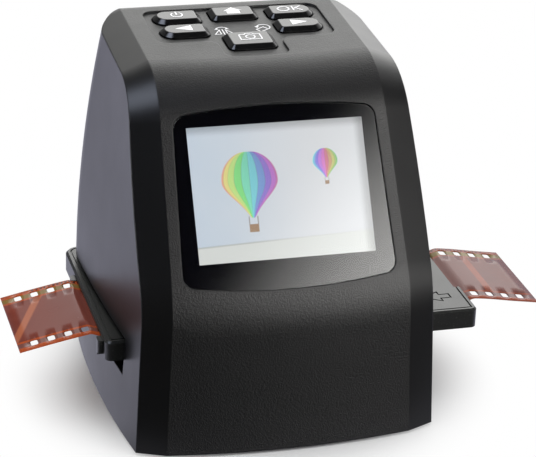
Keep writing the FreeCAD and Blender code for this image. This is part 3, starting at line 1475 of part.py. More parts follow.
def arrow():
    """Sunk outline of an arrow that shows which way the tray goes in."""
    x0, x1 = ARROW_X
    neck = x0 + ARROW_HEAD
    corners = [(x0, 0), (neck, -ARROW_HALF), (neck, -ARROW_SHAFT), (x1, -ARROW_SHAFT),
               (x1, ARROW_SHAFT), (neck, ARROW_SHAFT), (neck, ARROW_HALF)]
    low = TRAY_TOP - ARROW_DEEP
    strokes = []
    for i, (xa, ya) in enumerate(corners):
        xb, yb = corners[i - 1]
        strokes.append(stroke(V(xa, ARROW_Y + ya, low), V(xb, ARROW_Y + yb, low)))
    return fuse(strokes)


def stroke(a, b):
    """A straight upright-walled line with round ends."""
    r = ARROW_LINE / 2
    up = V(0, 0, ARROW_DEEP + OVER)
    side = (b - a).cross(Z).normalize() * r
    bar = Part.Face(Part.makePolygon([a - side, b - side, b + side, a + side, a - side])).extrude(up)
    return fuse([bar, rod(r, a, a + up), rod(r, b, b + up)])


def tray_hinge_pins():
    """Two pins that join the tray's halves at the rear."""
    return group(hinge_pin_rods())


def film_strip():
    """Flat strip with a row of perforations along each edge."""
    half = FILM_W / 2
    strip_ = box(FILM_LEFT, FILM_RIGHT, -half, half, FILM_LOW, FILM_LOW + FILM_T)
    count = int((FILM_RIGHT - FILM_LEFT) / FILM_PITCH)
    first = FILM_LEFT + (FILM_RIGHT - FILM_LEFT - (count - 1) * FILM_PITCH) / 2
    cuts = []
    for i in range(count):
        for s in (-1, 1):
            cuts.append(block_at((first + i * FILM_PITCH, s * FILM_ROW_Y), PERF_X, PERF_Y,
                                 FILM_LOW - OVER, FILM_LOW + FILM_T + OVER))
    return strip_.cut(cuts)


PIECES = [housing_shell, rear_cover, rear_cover_screws, base_cover, foot_pads, base_screws,
          leg_screws, screen_window, window_gasket, lcd_panel, lcd_backlight, lcd_bracket,
          lcd_bracket_screws, lcd_ribbon, key_board, key_board_screws, tact_switches, key_ribbon,
          main_board, main_board_screws, processor_chip, memory_chips, power_coil, capacitors,
          sd_socket, usb_socket, tv_jack, optical_tower, tower_screws, lens_holder, lens_barrel,
          front_lens, rear_lens, infrared_filter, image_sensor, sensor_board, sensor_screws, sensor_ribbon, upper_guide,
          lower_guide, guide_screws, tray_spring, light_box, diffuser, led_board, leds, lamp_lead,
          tray_base, tray_lid, tray_hinge_pins, film_strip]


def main():
    os.makedirs("parts", exist_ok=True)
    for make in PIECES:
        export(make.__name__, make())
    for name, size in key_outlines().items():
        export(name, key_piece(size))


main()
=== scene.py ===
"""A small table-top scanner for 35 mm film strips: finishes, film, picture, key marks and studio.

Every size is in millimetres until points() turns it into metres, but for the camera and the lamps,
which are in metres. X runs right as seen from the front, Y to the rear, Z up, and the origin is on
the table under the lens.
"""
import json
import math

import bpy
import numpy as np
from mathutils import Matrix, Vector


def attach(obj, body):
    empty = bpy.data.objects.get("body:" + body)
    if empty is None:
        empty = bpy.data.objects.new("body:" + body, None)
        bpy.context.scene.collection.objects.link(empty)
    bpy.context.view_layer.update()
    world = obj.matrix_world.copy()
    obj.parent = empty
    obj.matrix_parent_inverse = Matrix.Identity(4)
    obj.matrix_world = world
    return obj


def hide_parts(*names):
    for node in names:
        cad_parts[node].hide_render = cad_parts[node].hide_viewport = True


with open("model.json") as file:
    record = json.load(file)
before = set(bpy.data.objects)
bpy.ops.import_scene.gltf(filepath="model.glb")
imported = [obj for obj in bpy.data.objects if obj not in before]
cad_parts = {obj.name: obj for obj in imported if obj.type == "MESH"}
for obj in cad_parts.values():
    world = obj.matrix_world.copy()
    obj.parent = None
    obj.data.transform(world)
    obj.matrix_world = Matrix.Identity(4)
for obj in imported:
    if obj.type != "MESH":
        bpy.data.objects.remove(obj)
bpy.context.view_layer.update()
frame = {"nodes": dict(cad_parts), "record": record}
nodes = frame["nodes"]

# A millimetre in metres
MM = 0.001

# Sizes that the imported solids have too
LCD_W, LCD_H = 48.96, 36.72
PICTURE_MIDDLE = np.array((0.0, -26.54, 69.8))
SCREEN_TILT = math.atan2(31.6, 54.4)
PANE_TOP_U = LCD_W / 2 + 3.62
PANE_LOW_U = LCD_W / 2 + 5.22
PANE_TOP_V = LCD_H / 2 + 3.04
PANE_LOW_V = -LCD_H / 2 - 5.84
PANE_ARCH_UP = 2.0
PANE_ARCH_DOWN = 2.5
PANE_CORNER_R = 3.5
PANE_BACK = 1.1
LCD_FRONT = 2.5
PANEL_SLOPE = 0.057
PANEL_ZERO = 98.676
RECESS = 0.6
KEY_RISE = 1.5
BAND_LOW, BAND_TOP, BAND_AT = 34.7, 31.2, 97.0
FILM_ENDS = (-70.3, 81.3)
FILM_HALF, FILM_LOW, FILM_THICK = 17.5, 25.9, 0.15
PERF_FIRST, PERF_PITCH, PERF_COUNT = -65.75, 4.75, 31
PERF_ROW, PERF_LONG, PERF_WIDE, PERF_ROUND = 14.085, 1.98, 2.8, 0.45

# Film outside the tray: where each end leaves it, the share of the end that the step up takes,
# the height of that step, the fall at the tip and the power that the fall grows with
LEFT_END = (-47.9, 0.13, 1.15, 4.3, 1.15)
RIGHT_END = (58.0, 0.16, 1.3, 3.6, 1.3)
RIGHT_RIPPLE, RIGHT_WAVES = 0.14, 1.2
FRAME_PITCH, FRAME_START = 38.0, 7.8

# Thin layers, gaps, and the radius that shading alone gives to the shell's edges
MASK_GAP = 0.15
MASK_INSET = 0.1
PICTURE_OVER = 0.8
PICTURE_GAP = 0.1
PRINT_THICK = 0.05
MARK_LIFT = 0.035
MARK_THICK = 0.04
SHADED_RADIUS = 0.6

# Line widths of the marks
BOLD, MEDIUM, THIN = 0.42, 0.36, 0.3

# Finenesses of the meshes
PICTURE_GRID = (9, 7)
MASK_SIDE, HALVINGS = 16, 24
FLOOR_SIDES = 64
DOME_TURNS, DOME_RISES = 48, 24

# Share of a corner's radius that moves the corner to the middle of its arc
CORNER_PULL = 0.29

# Camera, fitted to the photo: angles in degrees, lengths in metres but the lens in millimetres
CAMERA_AZIMUTH, CAMERA_ELEVATION, CAMERA_ROLL = 15.606, 23.852, -1.895
CAMERA_AIM = (0.0, -0.002, 0.05)
CAMERA_FAR = 0.63077
CAMERA_LENS = 149.81
CAMERA_SHIFT = (0.02125, -0.0148)

# Studio: radii in millimetres, and the dome's lowest and highest angle in radians
FLOOR_R = 2500.0
DOME_R = 2400.0
DOME_LOW, DOME_HIGH = -0.5, np.pi / 2 - 0.001
SHADOW_REACH = (44.0, 74.0)

# Soft panels on the dome: direction, half angles of the full and of the fading part, and light
PANELS = (
    ((0.560, -0.790, 0.250), 20.5, 27.0, (8.0, 7.9, 7.7)),
    ((-0.46, -0.08, 0.88), 7.0, 20.0, (4.4, 4.8, 5.8)),
    ((0.3, 0.80, 0.52), 12.0, 36.0, (2.1, 2.1, 2.05)),
    ((0.25, 0.25, 0.93), 10.0, 30.0, (0.9, 0.9, 0.88)),
    ((-0.98, 0.17, 0.04), 6.0, 12.0, (14.0, 14.0, 14.5)),
)


# Meshes

def points(rows):
    """Millimetre points as an array in metres."""
    return np.asarray(rows, float).reshape(-1, 3) * MM


def new_piece(name, verts, faces, material, body=None, uv=None):
    """A mesh object at the origin from points and faces, with its UV map if one is given."""
    mesh = bpy.data.meshes.new(name)
    mesh.from_pydata(points(verts).tolist(), [], [[int(i) for i in face] for face in faces])
    if uv is not None:
        layer = mesh.uv_layers.new(name="UVMap")
        loops = np.empty(len(mesh.loops), dtype=np.int32)
        mesh.loops.foreach_get("vertex_index", loops)
        layer.data.foreach_set("uv", np.asarray(uv, float).reshape(-1, 2)[loops].ravel())
    mesh.validate()
    obj = bpy.data.objects.new(name, mesh)
    bpy.context.scene.collection.objects.link(obj)
    obj.data.materials.append(material)
    if body:
        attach(obj, body)
    return obj


def shade_smooth(obj):
    """Smooth shading on every face."""
    obj.data.polygons.foreach_set("use_smooth", np.ones(len(obj.data.polygons), dtype=bool))


def grid_faces(rows, columns, wrap=False):
    """Quads between the rows and columns of a grid; wrap joins the last row to the first."""
    i = np.arange(rows if wrap else rows - 1)[:, None]
    j = np.arange(columns - 1)[None, :]
    k = (i + 1) % rows
    a = i * columns + j
    b = k * columns + j
    return np.stack([a, a + 1, b + 1, b], axis=-1).reshape(-1, 4)


def thicken(obj, depth):
    """Gives a sheet its thickness in millimetres, away from its faces."""
    skin = obj.modifiers.new("thickness", "SOLIDIFY")
    skin.thickness = depth * MM
    skin.offset = -1.0
    return obj


# Materials

def socket_value(tree, socket, value):
    """Plugs an output into a socket, or sets a plain value on it."""
    if isinstance(value, bpy.types.NodeSocket):
        tree.links.new(value, socket)
    else:
        socket.default_value = value


def calc(tree, how, a, b=0.0, c=0.0, clamp=False):
    """One step of arithmetic on plain numbers."""
    node = tree.nodes.new("ShaderNodeMath")
    node.operation = how
    node.use_clamp = clamp
    for socket, value in zip(node.inputs, (a, b, c)):
        socket_value(tree, socket, value)
    return node.outputs[0]


def ramp(tree, value, low, high, to_low=0.0, to_high=1.0):
    """Value between low and high turned smoothly into to_low to to_high, held outside them."""
    node = tree.nodes.new("ShaderNodeMapRange")
    node.interpolation_type = "SMOOTHSTEP"
    for name, number in (("Value", value), ("From Min", low), ("From Max", high),
                         ("To Min", to_low), ("To Max", to_high)):
        socket_value(tree, node.inputs[name], number)
    return node.outputs["Result"]


def times(tree, a, b):
    """The product of two plain numbers."""
    return calc(tree, "MULTIPLY", a, b)


def unsigned(tree, a):
    """A plain number without its sign."""
    return calc(tree, "ABSOLUTE", a)


def opaque(value):
    """A colour with its alpha of one; anything else as it is."""
    return tuple(value) + (1.0,) if isinstance(value, tuple) else value


def blend_colour(tree, share, a, b, how="MIX"):
    """Colour a turned into colour b by a share."""
    node = tree.nodes.new("ShaderNodeMix")
    node.data_type = "RGBA"
    node.blend_type = how
    socket_value(tree, node.inputs["Factor"], share)
    for socket, value in ((node.inputs[6], a), (node.inputs[7], b)):
        socket_value(tree, socket, opaque(value))
    return node.outputs[2]


def scaled(tree, vector, factor):
    """A vector or a colour times a plain number."""
    node = tree.nodes.new("ShaderNodeVectorMath")
    node.operation = "SCALE"
    tree.links.new(vector, node.inputs[0])
    socket_value(tree, node.inputs["Scale"], factor)
    return node.outputs[0]


def coordinates(tree, kind):
    """Texture coordinates of one kind, such as Object or UV."""
    return tree.nodes.new("ShaderNodeTexCoord").outputs[kind]


def parted(tree, vector):
    """The x, y and z of a vector."""
    node = tree.nodes.new("ShaderNodeSeparateXYZ")
    tree.links.new(vector, node.inputs[0])
    return node.outputs[0], node.outputs[1], node.outputs[2]


def place(tree):
    """Object coordinates in millimetres: x, y, z and the three together."""
    where = scaled(tree, coordinates(tree, "Object"), 1.0 / MM)
    return (*parted(tree, where), where)


def noise(tree, where, size, detail=2.0):
    """Soft noise whose bumps are about size across, in the units of where."""
    node = tree.nodes.new("ShaderNodeTexNoise")
    tree.links.new(where, node.inputs["Vector"])
    plain = not isinstance(size, bpy.types.NodeSocket)
    scale = 1.0 / size if plain else calc(tree, "DIVIDE", 1.0, size)
    socket_value(tree, node.inputs["Scale"], scale)
    node.inputs["Detail"].default_value = detail
    return node.outputs[0]


def new_group(name, inputs, outputs):
    """An empty node group with named sockets, with its input and output nodes."""
    group = bpy.data.node_groups.new(name, "ShaderNodeTree")
    for label, kind, value in inputs:
        made = group.interface.new_socket(name=label, in_out="INPUT", socket_type=kind)
        made.default_value = value
    for label, kind in outputs:
        group.interface.new_socket(name=label, in_out="OUTPUT", socket_type=kind)
    return group, group.nodes.new("NodeGroupInput"), group.nodes.new("NodeGroupOutput")


def make_moulded_grain():
    """Spark-eroded mould grain: rounded pits of one size over a softer unevenness, as a normal.

    It also gives the finish's roughness and a mask that is 1 on the high spots.
    """
    group, given, out = new_group(
        "moulded_grain",
        [("Size", "NodeSocketFloat", 0.5), ("Depth", "NodeSocketFloat", 0.02),
         ("Roughness", "NodeSocketFloat", 0.4), ("Spread", "NodeSocketFloat", 0.06)],
        [("Normal", "NodeSocketVector"), ("Roughness", "NodeSocketFloat"),
         ("High", "NodeSocketFloat")])
    where = place(group)[3]
    high = ramp(group, noise(group, where, given.outputs["Size"], 1.5), 0.38, 0.62)
    bump = group.nodes.new("ShaderNodeBump")
    group.links.new(times(group, given.outputs["Depth"], MM), bump.inputs["Distance"])
    group.links.new(high, bump.inputs["Height"])
    waves = calc(group, "SUBTRACT", noise(group, where, 9.0, 1.0), 0.5)
    spread = calc(group, "MULTIPLY_ADD", waves, given.outputs["Spread"],
                  given.outputs["Roughness"])
    group.links.new(bump.outputs[0], out.inputs["Normal"])
    group.links.new(spread, out.inputs["Roughness"])
    group.links.new(high, out.inputs["High"])
    return group


def make_uneven_tone():
    """A colour with a faint cloudy change in lightness and a few specks of dust."""
    group, given, out = new_group(
        "uneven_tone",
        [("Color", "NodeSocketColor", (0.5, 0.5, 0.5, 1.0)), ("Size", "NodeSocketFloat", 8.0),
         ("Change", "NodeSocketFloat", 0.15), ("Dust", "NodeSocketFloat", 0.0)],
        [("Color", "NodeSocketColor")])
    where = place(group)[3]
    cloud = calc(group, "SUBTRACT", noise(group, where, given.outputs["Size"], 3.0), 0.5)
    level = calc(group, "MULTIPLY_ADD", cloud, given.outputs["Change"], 1.0)
    tint = scaled(group, given.outputs["Color"], level)
    specks = ramp(group, noise(group, where, 0.35, 0.0), 0.74, 0.8)
    dust = times(group, specks, given.outputs["Dust"])
    dusty = blend_colour(group, dust, tint, (0.5, 0.49, 0.46))
    group.links.new(dusty, out.inputs["Color"])
    return group


MOULDED_GRAIN = make_moulded_grain()
UNEVEN_TONE = make_uneven_tone()


def use_group(tree, group, **values):
    """Places a node group in a material with its own values."""
    node = tree.nodes.new("ShaderNodeGroup")
    node.node_tree = group
    for name, value in values.items():
        socket_value(tree, node.inputs[name], opaque(value))
    return node


def new_material(name, **plain):
    """A material with a Principled shader whose plain sockets are set by name."""
    material = bpy.data.materials.new(name)
    material.use_nodes = True
    tree = material.node_tree
    shader = tree.nodes["Principled BSDF"]
    for label, value in plain.items():
        shader.inputs[label.replace("_", " ")].default_value = value
    return material, tree, shader


def finish_of(name, colour, roughness, size=0.5, depth=0.0, change=0.15, cloud=8.0, dust=0.0,
              spread=0.06, **plain):
    """A one-colour finish with uneven tone and mould grain."""
    material, tree, shader = new_material(name, **plain)
    tone = use_group(tree, UNEVEN_TONE, Color=colour, Size=cloud, Change=change, Dust=dust)
    grain = use_group(tree, MOULDED_GRAIN, Size=size, Depth=depth, Roughness=roughness,
                      Spread=spread)
    tree.links.new(tone.outputs["Color"], shader.inputs["Base Color"])
    tree.links.new(grain.outputs["Roughness"], shader.inputs["Roughness"])
    if depth:
        tree.links.new(grain.outputs["Normal"], shader.inputs["Normal"])
    return material


def housing_finish():
    """Black moulding: a grained band down the middle, smoother satin bevel strips and sides."""
    material, tree, shader = new_material("moulded_black", Specular_IOR_Level=0.42)
    x, y, z = place(tree)[:3]
    edge = calc(tree, "MULTIPLY_ADD", z, (BAND_TOP - BAND_LOW) / BAND_AT, BAND_LOW)
    inside = calc(tree, "SUBTRACT", edge, unsigned(tree, x))
    band = times(tree, ramp(tree, inside, -0.15, 0.15), ramp(tree, y, 43.0, 41.0))
    tone = use_group(tree, UNEVEN_TONE, Color=(0.0022, 0.0021, 0.0025), Size=14.0, Change=0.3,
                     Dust=0.01)
    rough = calc(tree, "MULTIPLY_ADD", band, 0.1, 0.34)
    grain = use_group(tree, MOULDED_GRAIN, Size=0.42, Roughness=rough, Spread=0.05)
    tree.links.new(calc(tree, "MULTIPLY_ADD", band, 0.022, 0.0035), grain.inputs["Depth"])
    worn = blend_colour(tree, times(tree, grain.outputs["High"], 0.25), tone.outputs["Color"],
                        (0.006, 0.0058, 0.0057))
    tree.links.new(worn, shader.inputs["Base Color"])
    tree.links.new(grain.outputs["Roughness"], shader.inputs["Roughness"])
    soft_edges = tree.nodes.new("ShaderNodeBevel")
    soft_edges.samples = 4
    soft_edges.inputs["Radius"].default_value = SHADED_RADIUS * MM
    tree.links.new(grain.outputs["Normal"], soft_edges.inputs["Normal"])
    tree.links.new(soft_edges.outputs[0], shader.inputs["Normal"])
    return material


def glass_finish(name, colour):
    """Clear glass with a faint tint."""
    material, tree, shader = new_material(name, Metallic=0.0, IOR=1.52, Roughness=0.02)
    shader.inputs["Transmission Weight"].default_value = 1.0
    tone = use_group(tree, UNEVEN_TONE, Color=colour, Size=10.0, Change=0.03)
    tree.links.new(tone.outputs["Color"], shader.inputs["Base Color"])
    return material


def pane_finish():
    """Clear pane: thin, very smooth, hardly tinted."""
    material, tree, shader = new_material("clear_pane", Metallic=0.0, IOR=1.6)
    shader.inputs["Transmission Weight"].default_value = 1.0
    tone = use_group(tree, UNEVEN_TONE, Color=(0.95, 0.965, 0.98), Size=30.0, Change=0.02)
    tree.links.new(tone.outputs["Color"], shader.inputs["Base Color"])
    smear = noise(tree, place(tree)[3], 6.0, 3.0)
    tree.links.new(ramp(tree, smear, 0.4, 0.8, 0.045, 0.06), shader.inputs["Roughness"])
    return material


def film_finish():
    """Colour negative: orange base, a dark cloudy picture in each frame with a painted diagonal
    reflection band, and paler at the right end, where a painted sheen turns it mauve.

    Darker marks lie between the perforations, and a patch of fine bars beside them.
    """
    material, tree, shader = new_material("negative_film", IOR=1.5, Specular_IOR_Level=0.1)
    x, y, _, where = place(tree)
    mottle = noise(tree, where, 14.0)
    base = blend_colour(tree, mottle, (0.35, 0.055, 0.012), (0.45, 0.095, 0.03))
    run = calc(tree, "WRAP", calc(tree, "ADD", x, FRAME_START), FRAME_PITCH, 0.0)
    across = ramp(tree, unsigned(tree, y), 11.6, 12.0, 1.0, 0.0)
    along = times(tree, ramp(tree, run, 1.0, 1.5), ramp(tree, run, 36.8, 37.3, 1.0, 0.0))
    inside = times(tree, across, along)
    slant = calc(tree, "MULTIPLY_ADD", y, -0.45, run)
    # Painted reflection: a lighter orange band slants across each frame, strong at the left and
    # faint at the right.
    painted_reflection_band = times(tree, ramp(tree, slant, 16.6, 17.2), ramp(tree, slant, 18.8, 19.6, 1.0, 0.0))
    cloudy = noise(tree, where, 11.0, 3.0)
    shade = ramp(tree, cloudy, 0.35, 0.7)
    image = blend_colour(tree, shade, (0.10, 0.008, 0.005), (0.19, 0.038, 0.024))
    image = blend_colour(tree, ramp(tree, slant, 2.0, 30.0), image, (0.16, 0.045, 0.036))
    painted_reflection_band = times(tree, painted_reflection_band, ramp(tree, x, -5.0, 5.0, 0.85, 0.1))
    image = blend_colour(tree, painted_reflection_band, image, (0.42, 0.13, 0.06))
    colour = blend_colour(tree, times(tree, inside, 0.9), base, image)
    # Painted sheen: towards the right end the colour turns a pale mauve, patchy with the cloud
    # noise.
    painted_sheen = times(tree, ramp(tree, x, 20.0, 60.0, 0.0, 0.6), ramp(tree, cloudy, 0.2, 0.7, 0.7, 1.0))
    colour = blend_colour(tree, painted_sheen, colour, (0.13, 0.078, 0.075))
    row = calc(tree, "SUBTRACT", unsigned(tree, y), PERF_ROW)
    between = ramp(tree, unsigned(tree, row), 1.1, 1.4, 1.0, 0.0)
    rear = ramp(tree, y, -1.0, 1.0)
    mark = blend_colour(tree, rear, (0.10, 0.06, 0.06), (0.16, 0.15, 0.04))
    colour = blend_colour(tree, times(tree, between, 0.75), colour, mark)
    edge = times(tree, ramp(tree, y, 15.9, 16.2), ramp(tree, y, 17.0, 17.2, 1.0, 0.0))
    uneven = calc(tree, "ADD", x, noise(tree, where, 2.0))
    bars = ramp(tree, calc(tree, "PINGPONG", uneven, 0.6), 0.28, 0.34)
    patch = ramp(tree, calc(tree, "WRAP", x, FRAME_PITCH, 0.0), 14.0, 14.5)
    code = times(tree, times(tree, edge, bars), patch)
    colour = blend_colour(tree, times(tree, code, 0.8), colour, (0.06, 0.02, 0.02))
    tree.links.new(colour, shader.inputs["Base Color"])
    tree.links.new(ramp(tree, cloudy, 0.3, 0.8, 0.16, 0.3), shader.inputs["Roughness"])
    return material


def picture_finish():
    """The lit picture: pale sky and sand, and two striped balloons with baskets."""
    material, tree, shader = new_material("lit_picture", Roughness=0.4, Specular_IOR_Level=0.3)
    uv = coordinates(tree, "UV")
    across, up = parted(tree, uv)[:2]
    u = calc(tree, "MULTIPLY_ADD", across, LCD_W, -LCD_W / 2)
    v = calc(tree, "MULTIPLY_ADD", up, LCD_H, -LCD_H / 2)
    cloud = noise(tree, uv, 1 / 3.0, 4.0)
    sky = blend_colour(tree, ramp(tree, u, -26.0, 14.0), (0.62, 0.74, 0.86), (0.86, 0.87, 0.88))
    sky = blend_colour(tree, times(tree, cloud, 0.5), sky, (0.88, 0.88, 0.9))
    level = calc(tree, "MULTIPLY_ADD", u, 0.03, -13.2)
    over = calc(tree, "SUBTRACT", v, level)
    ground = blend_colour(tree, cloud, (0.80, 0.83, 0.78), (0.87, 0.87, 0.83))
    colour = blend_colour(tree, ramp(tree, over, -0.15, 0.15, 1.0, 0.0), sky, ground)
    line = ramp(tree, unsigned(tree, over), 0.05, 0.4, 0.45, 0.0)
    line = times(tree, line, ramp(tree, u, -10.0, 6.0, 1.0, 0.3))
    colour = blend_colour(tree, line, colour, (0.36, 0.36, 0.30))
    for middle_u, middle_v, r, first in ((-8.2, 3.4, 8.0, 0.0), (13.4, 7.2, 3.6, 0.45)):
        colour = balloon(tree, colour, u, v, middle_u, middle_v, r, first)
    edge_top = ramp(tree, v, LCD_H / 2 - 2.6, LCD_H / 2, 1.0, 0.62)
    edge_right = ramp(tree, u, LCD_W / 2 - 2.6, LCD_W / 2, 1.0, 0.6)
    lit = scaled(tree, colour, times(tree, edge_top, edge_right))
    tree.links.new(lit, shader.inputs["Emission Color"])
    shader.inputs["Emission Strength"].default_value = 0.81
    shader.inputs["Base Color"].default_value = (0.02, 0.02, 0.02, 1.0)
    return material


def balloon(tree, under, u, v, middle_u, middle_v, r, first):
    """A striped balloon: gores bounded by equal turns about its upright axis, and a small basket.

    Its width at each height is the circle's, drawn in below the middle, and the turn of a point is
    the arcsine of its share of that width.
    """
    a = calc(tree, "DIVIDE", calc(tree, "SUBTRACT", u, middle_u), r)
    b = calc(tree, "DIVIDE", calc(tree, "SUBTRACT", v, middle_v), r)
    pull = ramp(tree, b, -1.35, 0.0, 0.28, 1.0)
    wide = calc(tree, "DIVIDE", a, pull)
    tall = calc(tree, "DIVIDE", b, ramp(tree, b, -0.1, 0.1, 1.3, 1.0))
    reach = calc(tree, "SQRT", calc(tree, "SUBTRACT", 1.0, times(tree, tall, tall), clamp=True))
    turn = calc(tree, "ARCSINE", calc(tree, "DIVIDE", wide, calc(tree, "MAXIMUM", reach, 0.001)))
    rim = calc(tree, "SUBTRACT", reach, 0.04)
    inside = ramp(tree, unsigned(tree, wide), rim, reach, 1.0, 0.0)
    inside = times(tree, inside, ramp(tree, reach, 0.12, 0.3))
    stripes = times(tree, turn, 3.5)
    gore = calc(tree, "FLOOR", stripes)
    hue = tree.nodes.new("ShaderNodeCombineColor")
    hue.mode = "HSV"
    tint = calc(tree, "FRACT", calc(tree, "MULTIPLY_ADD", gore, 0.095, first + 0.52))
    tree.links.new(tint, hue.inputs[0])
    hue.inputs[1].default_value = 0.72
    shade = ramp(tree, calc(tree, "MULTIPLY_ADD", b, 0.6, turn), -1.6, 1.6, 0.95, 0.62)
    tree.links.new(shade, hue.inputs[2])
    seam = ramp(tree, calc(tree, "PINGPONG", stripes, 0.5), 0.02, 0.07, 0.35, 0.0)
    body = blend_colour(tree, seam, hue.outputs[0], (0.2, 0.2, 0.25))
    colour = blend_colour(tree, inside, under, body)
    side = unsigned(tree, a)
    low = unsigned(tree, calc(tree, "ADD", b, 1.62))
    basket = times(tree, ramp(tree, low, 0.12, 0.15, 1.0, 0.0),
                   ramp(tree, side, 0.15, 0.18, 1.0, 0.0))
    colour = blend_colour(tree, basket, colour, (0.42, 0.25, 0.13))
    rope = ramp(tree, unsigned(tree, calc(tree, "SUBTRACT", side, 0.15)), 0.01, 0.03, 1.0, 0.0)
    hung = ramp(tree, unsigned(tree, calc(tree, "ADD", b, 1.36)), 0.13, 0.15, 0.8, 0.0)
    return blend_colour(tree, times(tree, rope, hung), colour, (0.3, 0.25, 0.2))


def board_finish():
    """Green circuit board: small rectangles of two greens with paler joints, and pale pads."""
    material, tree, shader = new_material("green_board")
    where = place(tree)[3]
    weave = tree.nodes.new("ShaderNodeTexBrick")
    tree.links.new(where, weave.inputs["Vector"])
    weave.inputs["Scale"].default_value = 0.45
    weave.inputs["Color1"].default_value = (0.012, 0.115, 0.045, 1.0)
    weave.inputs["Color2"].default_value = (0.010, 0.085, 0.035, 1.0)
    weave.inputs["Mortar"].default_value = (0.02, 0.17, 0.07, 1.0)
    weave.inputs["Mortar Size"].default_value = 0.09
    pads = ramp(tree, noise(tree, where, 1.1, 0.0), 0.7, 0.73)
    colour = blend_colour(tree, pads, weave.outputs["Color"], (0.62, 0.56, 0.36))
    tree.links.new(colour, shader.inputs["Base Color"])
    grain = use_group(tree, MOULDED_GRAIN, Size=1.2, Depth=0.02, Roughness=0.35, Spread=0.1)
    tree.links.new(grain.outputs["Roughness"], shader.inputs["Roughness"])
    tree.links.new(grain.outputs["Normal"], shader.inputs["Normal"])
    return material


def ribbon_finish():
    """Flat ribbon lead: an amber strip with fine paler lines along it."""
    material, tree, shader = new_material("flat_ribbon", Roughness=0.4)
    x = place(tree)[0]
    lines = ramp(tree, calc(tree, "PINGPONG", x, 0.5), 0.2, 0.3)
    colour = blend_colour(tree, lines, (0.62, 0.36, 0.10), (0.75, 0.52, 0.20))
    tree.links.new(colour, shader.inputs["Base Color"])
    return material


def lamp_finish():
    """White lamp chips with soft yellow patches."""
    material, tree, shader = new_material("lamp_chip", Roughness=0.4)
    dot = ramp(tree, noise(tree, place(tree)[3], 2.5, 0.0), 0.45, 0.5)
    colour = blend_colour(tree, dot, (0.78, 0.77, 0.70), (0.80, 0.68, 0.22))
    tree.links.new(colour, shader.inputs["Base Color"])
    return material


def all_finishes():
    """One material for each material slot of the record."""
    metal = {"Metallic": 1.0}
    return {
        "body_black": housing_finish(),
        "cover_black": finish_of("cover_black", (0.013, 0.013, 0.014), 0.5, 0.5, 0.012, dust=0.05),
        "rubber": finish_of("foot_rubber", (0.02, 0.02, 0.021), 0.78, 0.35, 0.02, dust=0.2),
        "screw_steel": finish_of("bright_screw", (0.55, 0.55, 0.56), 0.28, 0.3, 0.004, **metal),
        "screw_black": finish_of("black_screw", (0.03, 0.03, 0.032), 0.35, 0.3, 0.004, **metal),
        "dark_pane": pane_finish(),
        "tape": finish_of("black_tape", (0.001, 0.001, 0.004), 0.7, 0.1, 0.004,
                          Specular_IOR_Level=0.03),
        "lcd": finish_of("display_glass", (0.012, 0.013, 0.018), 0.12, cloud=20.0),
        "white_plastic": finish_of("white_moulding", (0.72, 0.72, 0.70), 0.5, 0.6, 0.01,
                                   change=0.05),
        "opal": finish_of("opal_plate", (0.82, 0.82, 0.80), 0.35, change=0.03),
        "sheet_metal": finish_of("plated_sheet", (0.58, 0.58, 0.57), 0.34, 0.8, 0.006, **metal),
        "board_green": board_finish(),
        "chip_black": finish_of("chip_resin", (0.016, 0.016, 0.018), 0.42, 0.2, 0.006),
        "key_black": finish_of("key_black", (0.004, 0.004, 0.0043), 0.16, 0.3, 0.0012, spread=0.1,
                               dust=0.01),
        "switch": finish_of("switch_cap", (0.05, 0.05, 0.055), 0.4, 0.4, 0.004),
        "ribbon": ribbon_finish(),
        "capacitor": finish_of("can_sleeve", (0.10, 0.13, 0.22), 0.3, 0.5, 0.004),
        "inner_black": finish_of("inner_black", (0.014, 0.014, 0.014), 0.6, 0.5, 0.012),
        "lens_glass": glass_finish("lens_glass", (0.93, 0.95, 0.98)),
        "filter_glass": glass_finish("filter_glass", (0.55, 0.85, 0.85)),
        "sensor": finish_of("sensor_face", (0.06, 0.05, 0.08), 0.15, cloud=3.0, change=0.6),
        "led": lamp_finish(),
        "lead": finish_of("lead_sleeve", (0.45, 0.02, 0.02), 0.4, 0.5, 0.004),
        "tray_grey": finish_of("tray_black", (0.006, 0.0064, 0.0058), 0.36, 0.3, 0.006, dust=0.06,
                               cloud=20.0, change=0.3),
        "film": film_finish(),
    }


def dress_nodes(finishes):
    """Puts each slot's finish on the nodes that the record gives it to."""
    for part in frame["record"]["subparts"]:
        obj = nodes[part["node"]]
        obj.data.materials.clear()
        obj.data.materials.append(finishes[part["material_slot"]])


# Film

def film_height(x):
    """Height of the film: flat in the tray, a short smooth step up at each mouth, a long fall.

    The step is a cubic that starts and ends level. The fall grows with a power of the way out of
    the tray, and the right end also has a faint sine ripple that grows towards its tip.
    """
    height = FILM_LOW + FILM_THICK
    for tip, (mouth, share, step, fall, power) in zip(FILM_ENDS, (LEFT_END, RIGHT_END)):
        out = np.clip((x - mouth) / (tip - mouth), 0, 1)
        rise = np.clip(out / share, 0, 1)
        height = height + step * rise ** 2 * (3 - 2 * rise) - fall * out ** power
    return height + RIGHT_RIPPLE * np.sin(2 * np.pi * RIGHT_WAVES * out) * out


def from_perforation(x):
    """Distance along the film from the middle of the nearest perforation."""
    return (x - PERF_FIRST + PERF_PITCH / 2) % PERF_PITCH - PERF_PITCH / 2


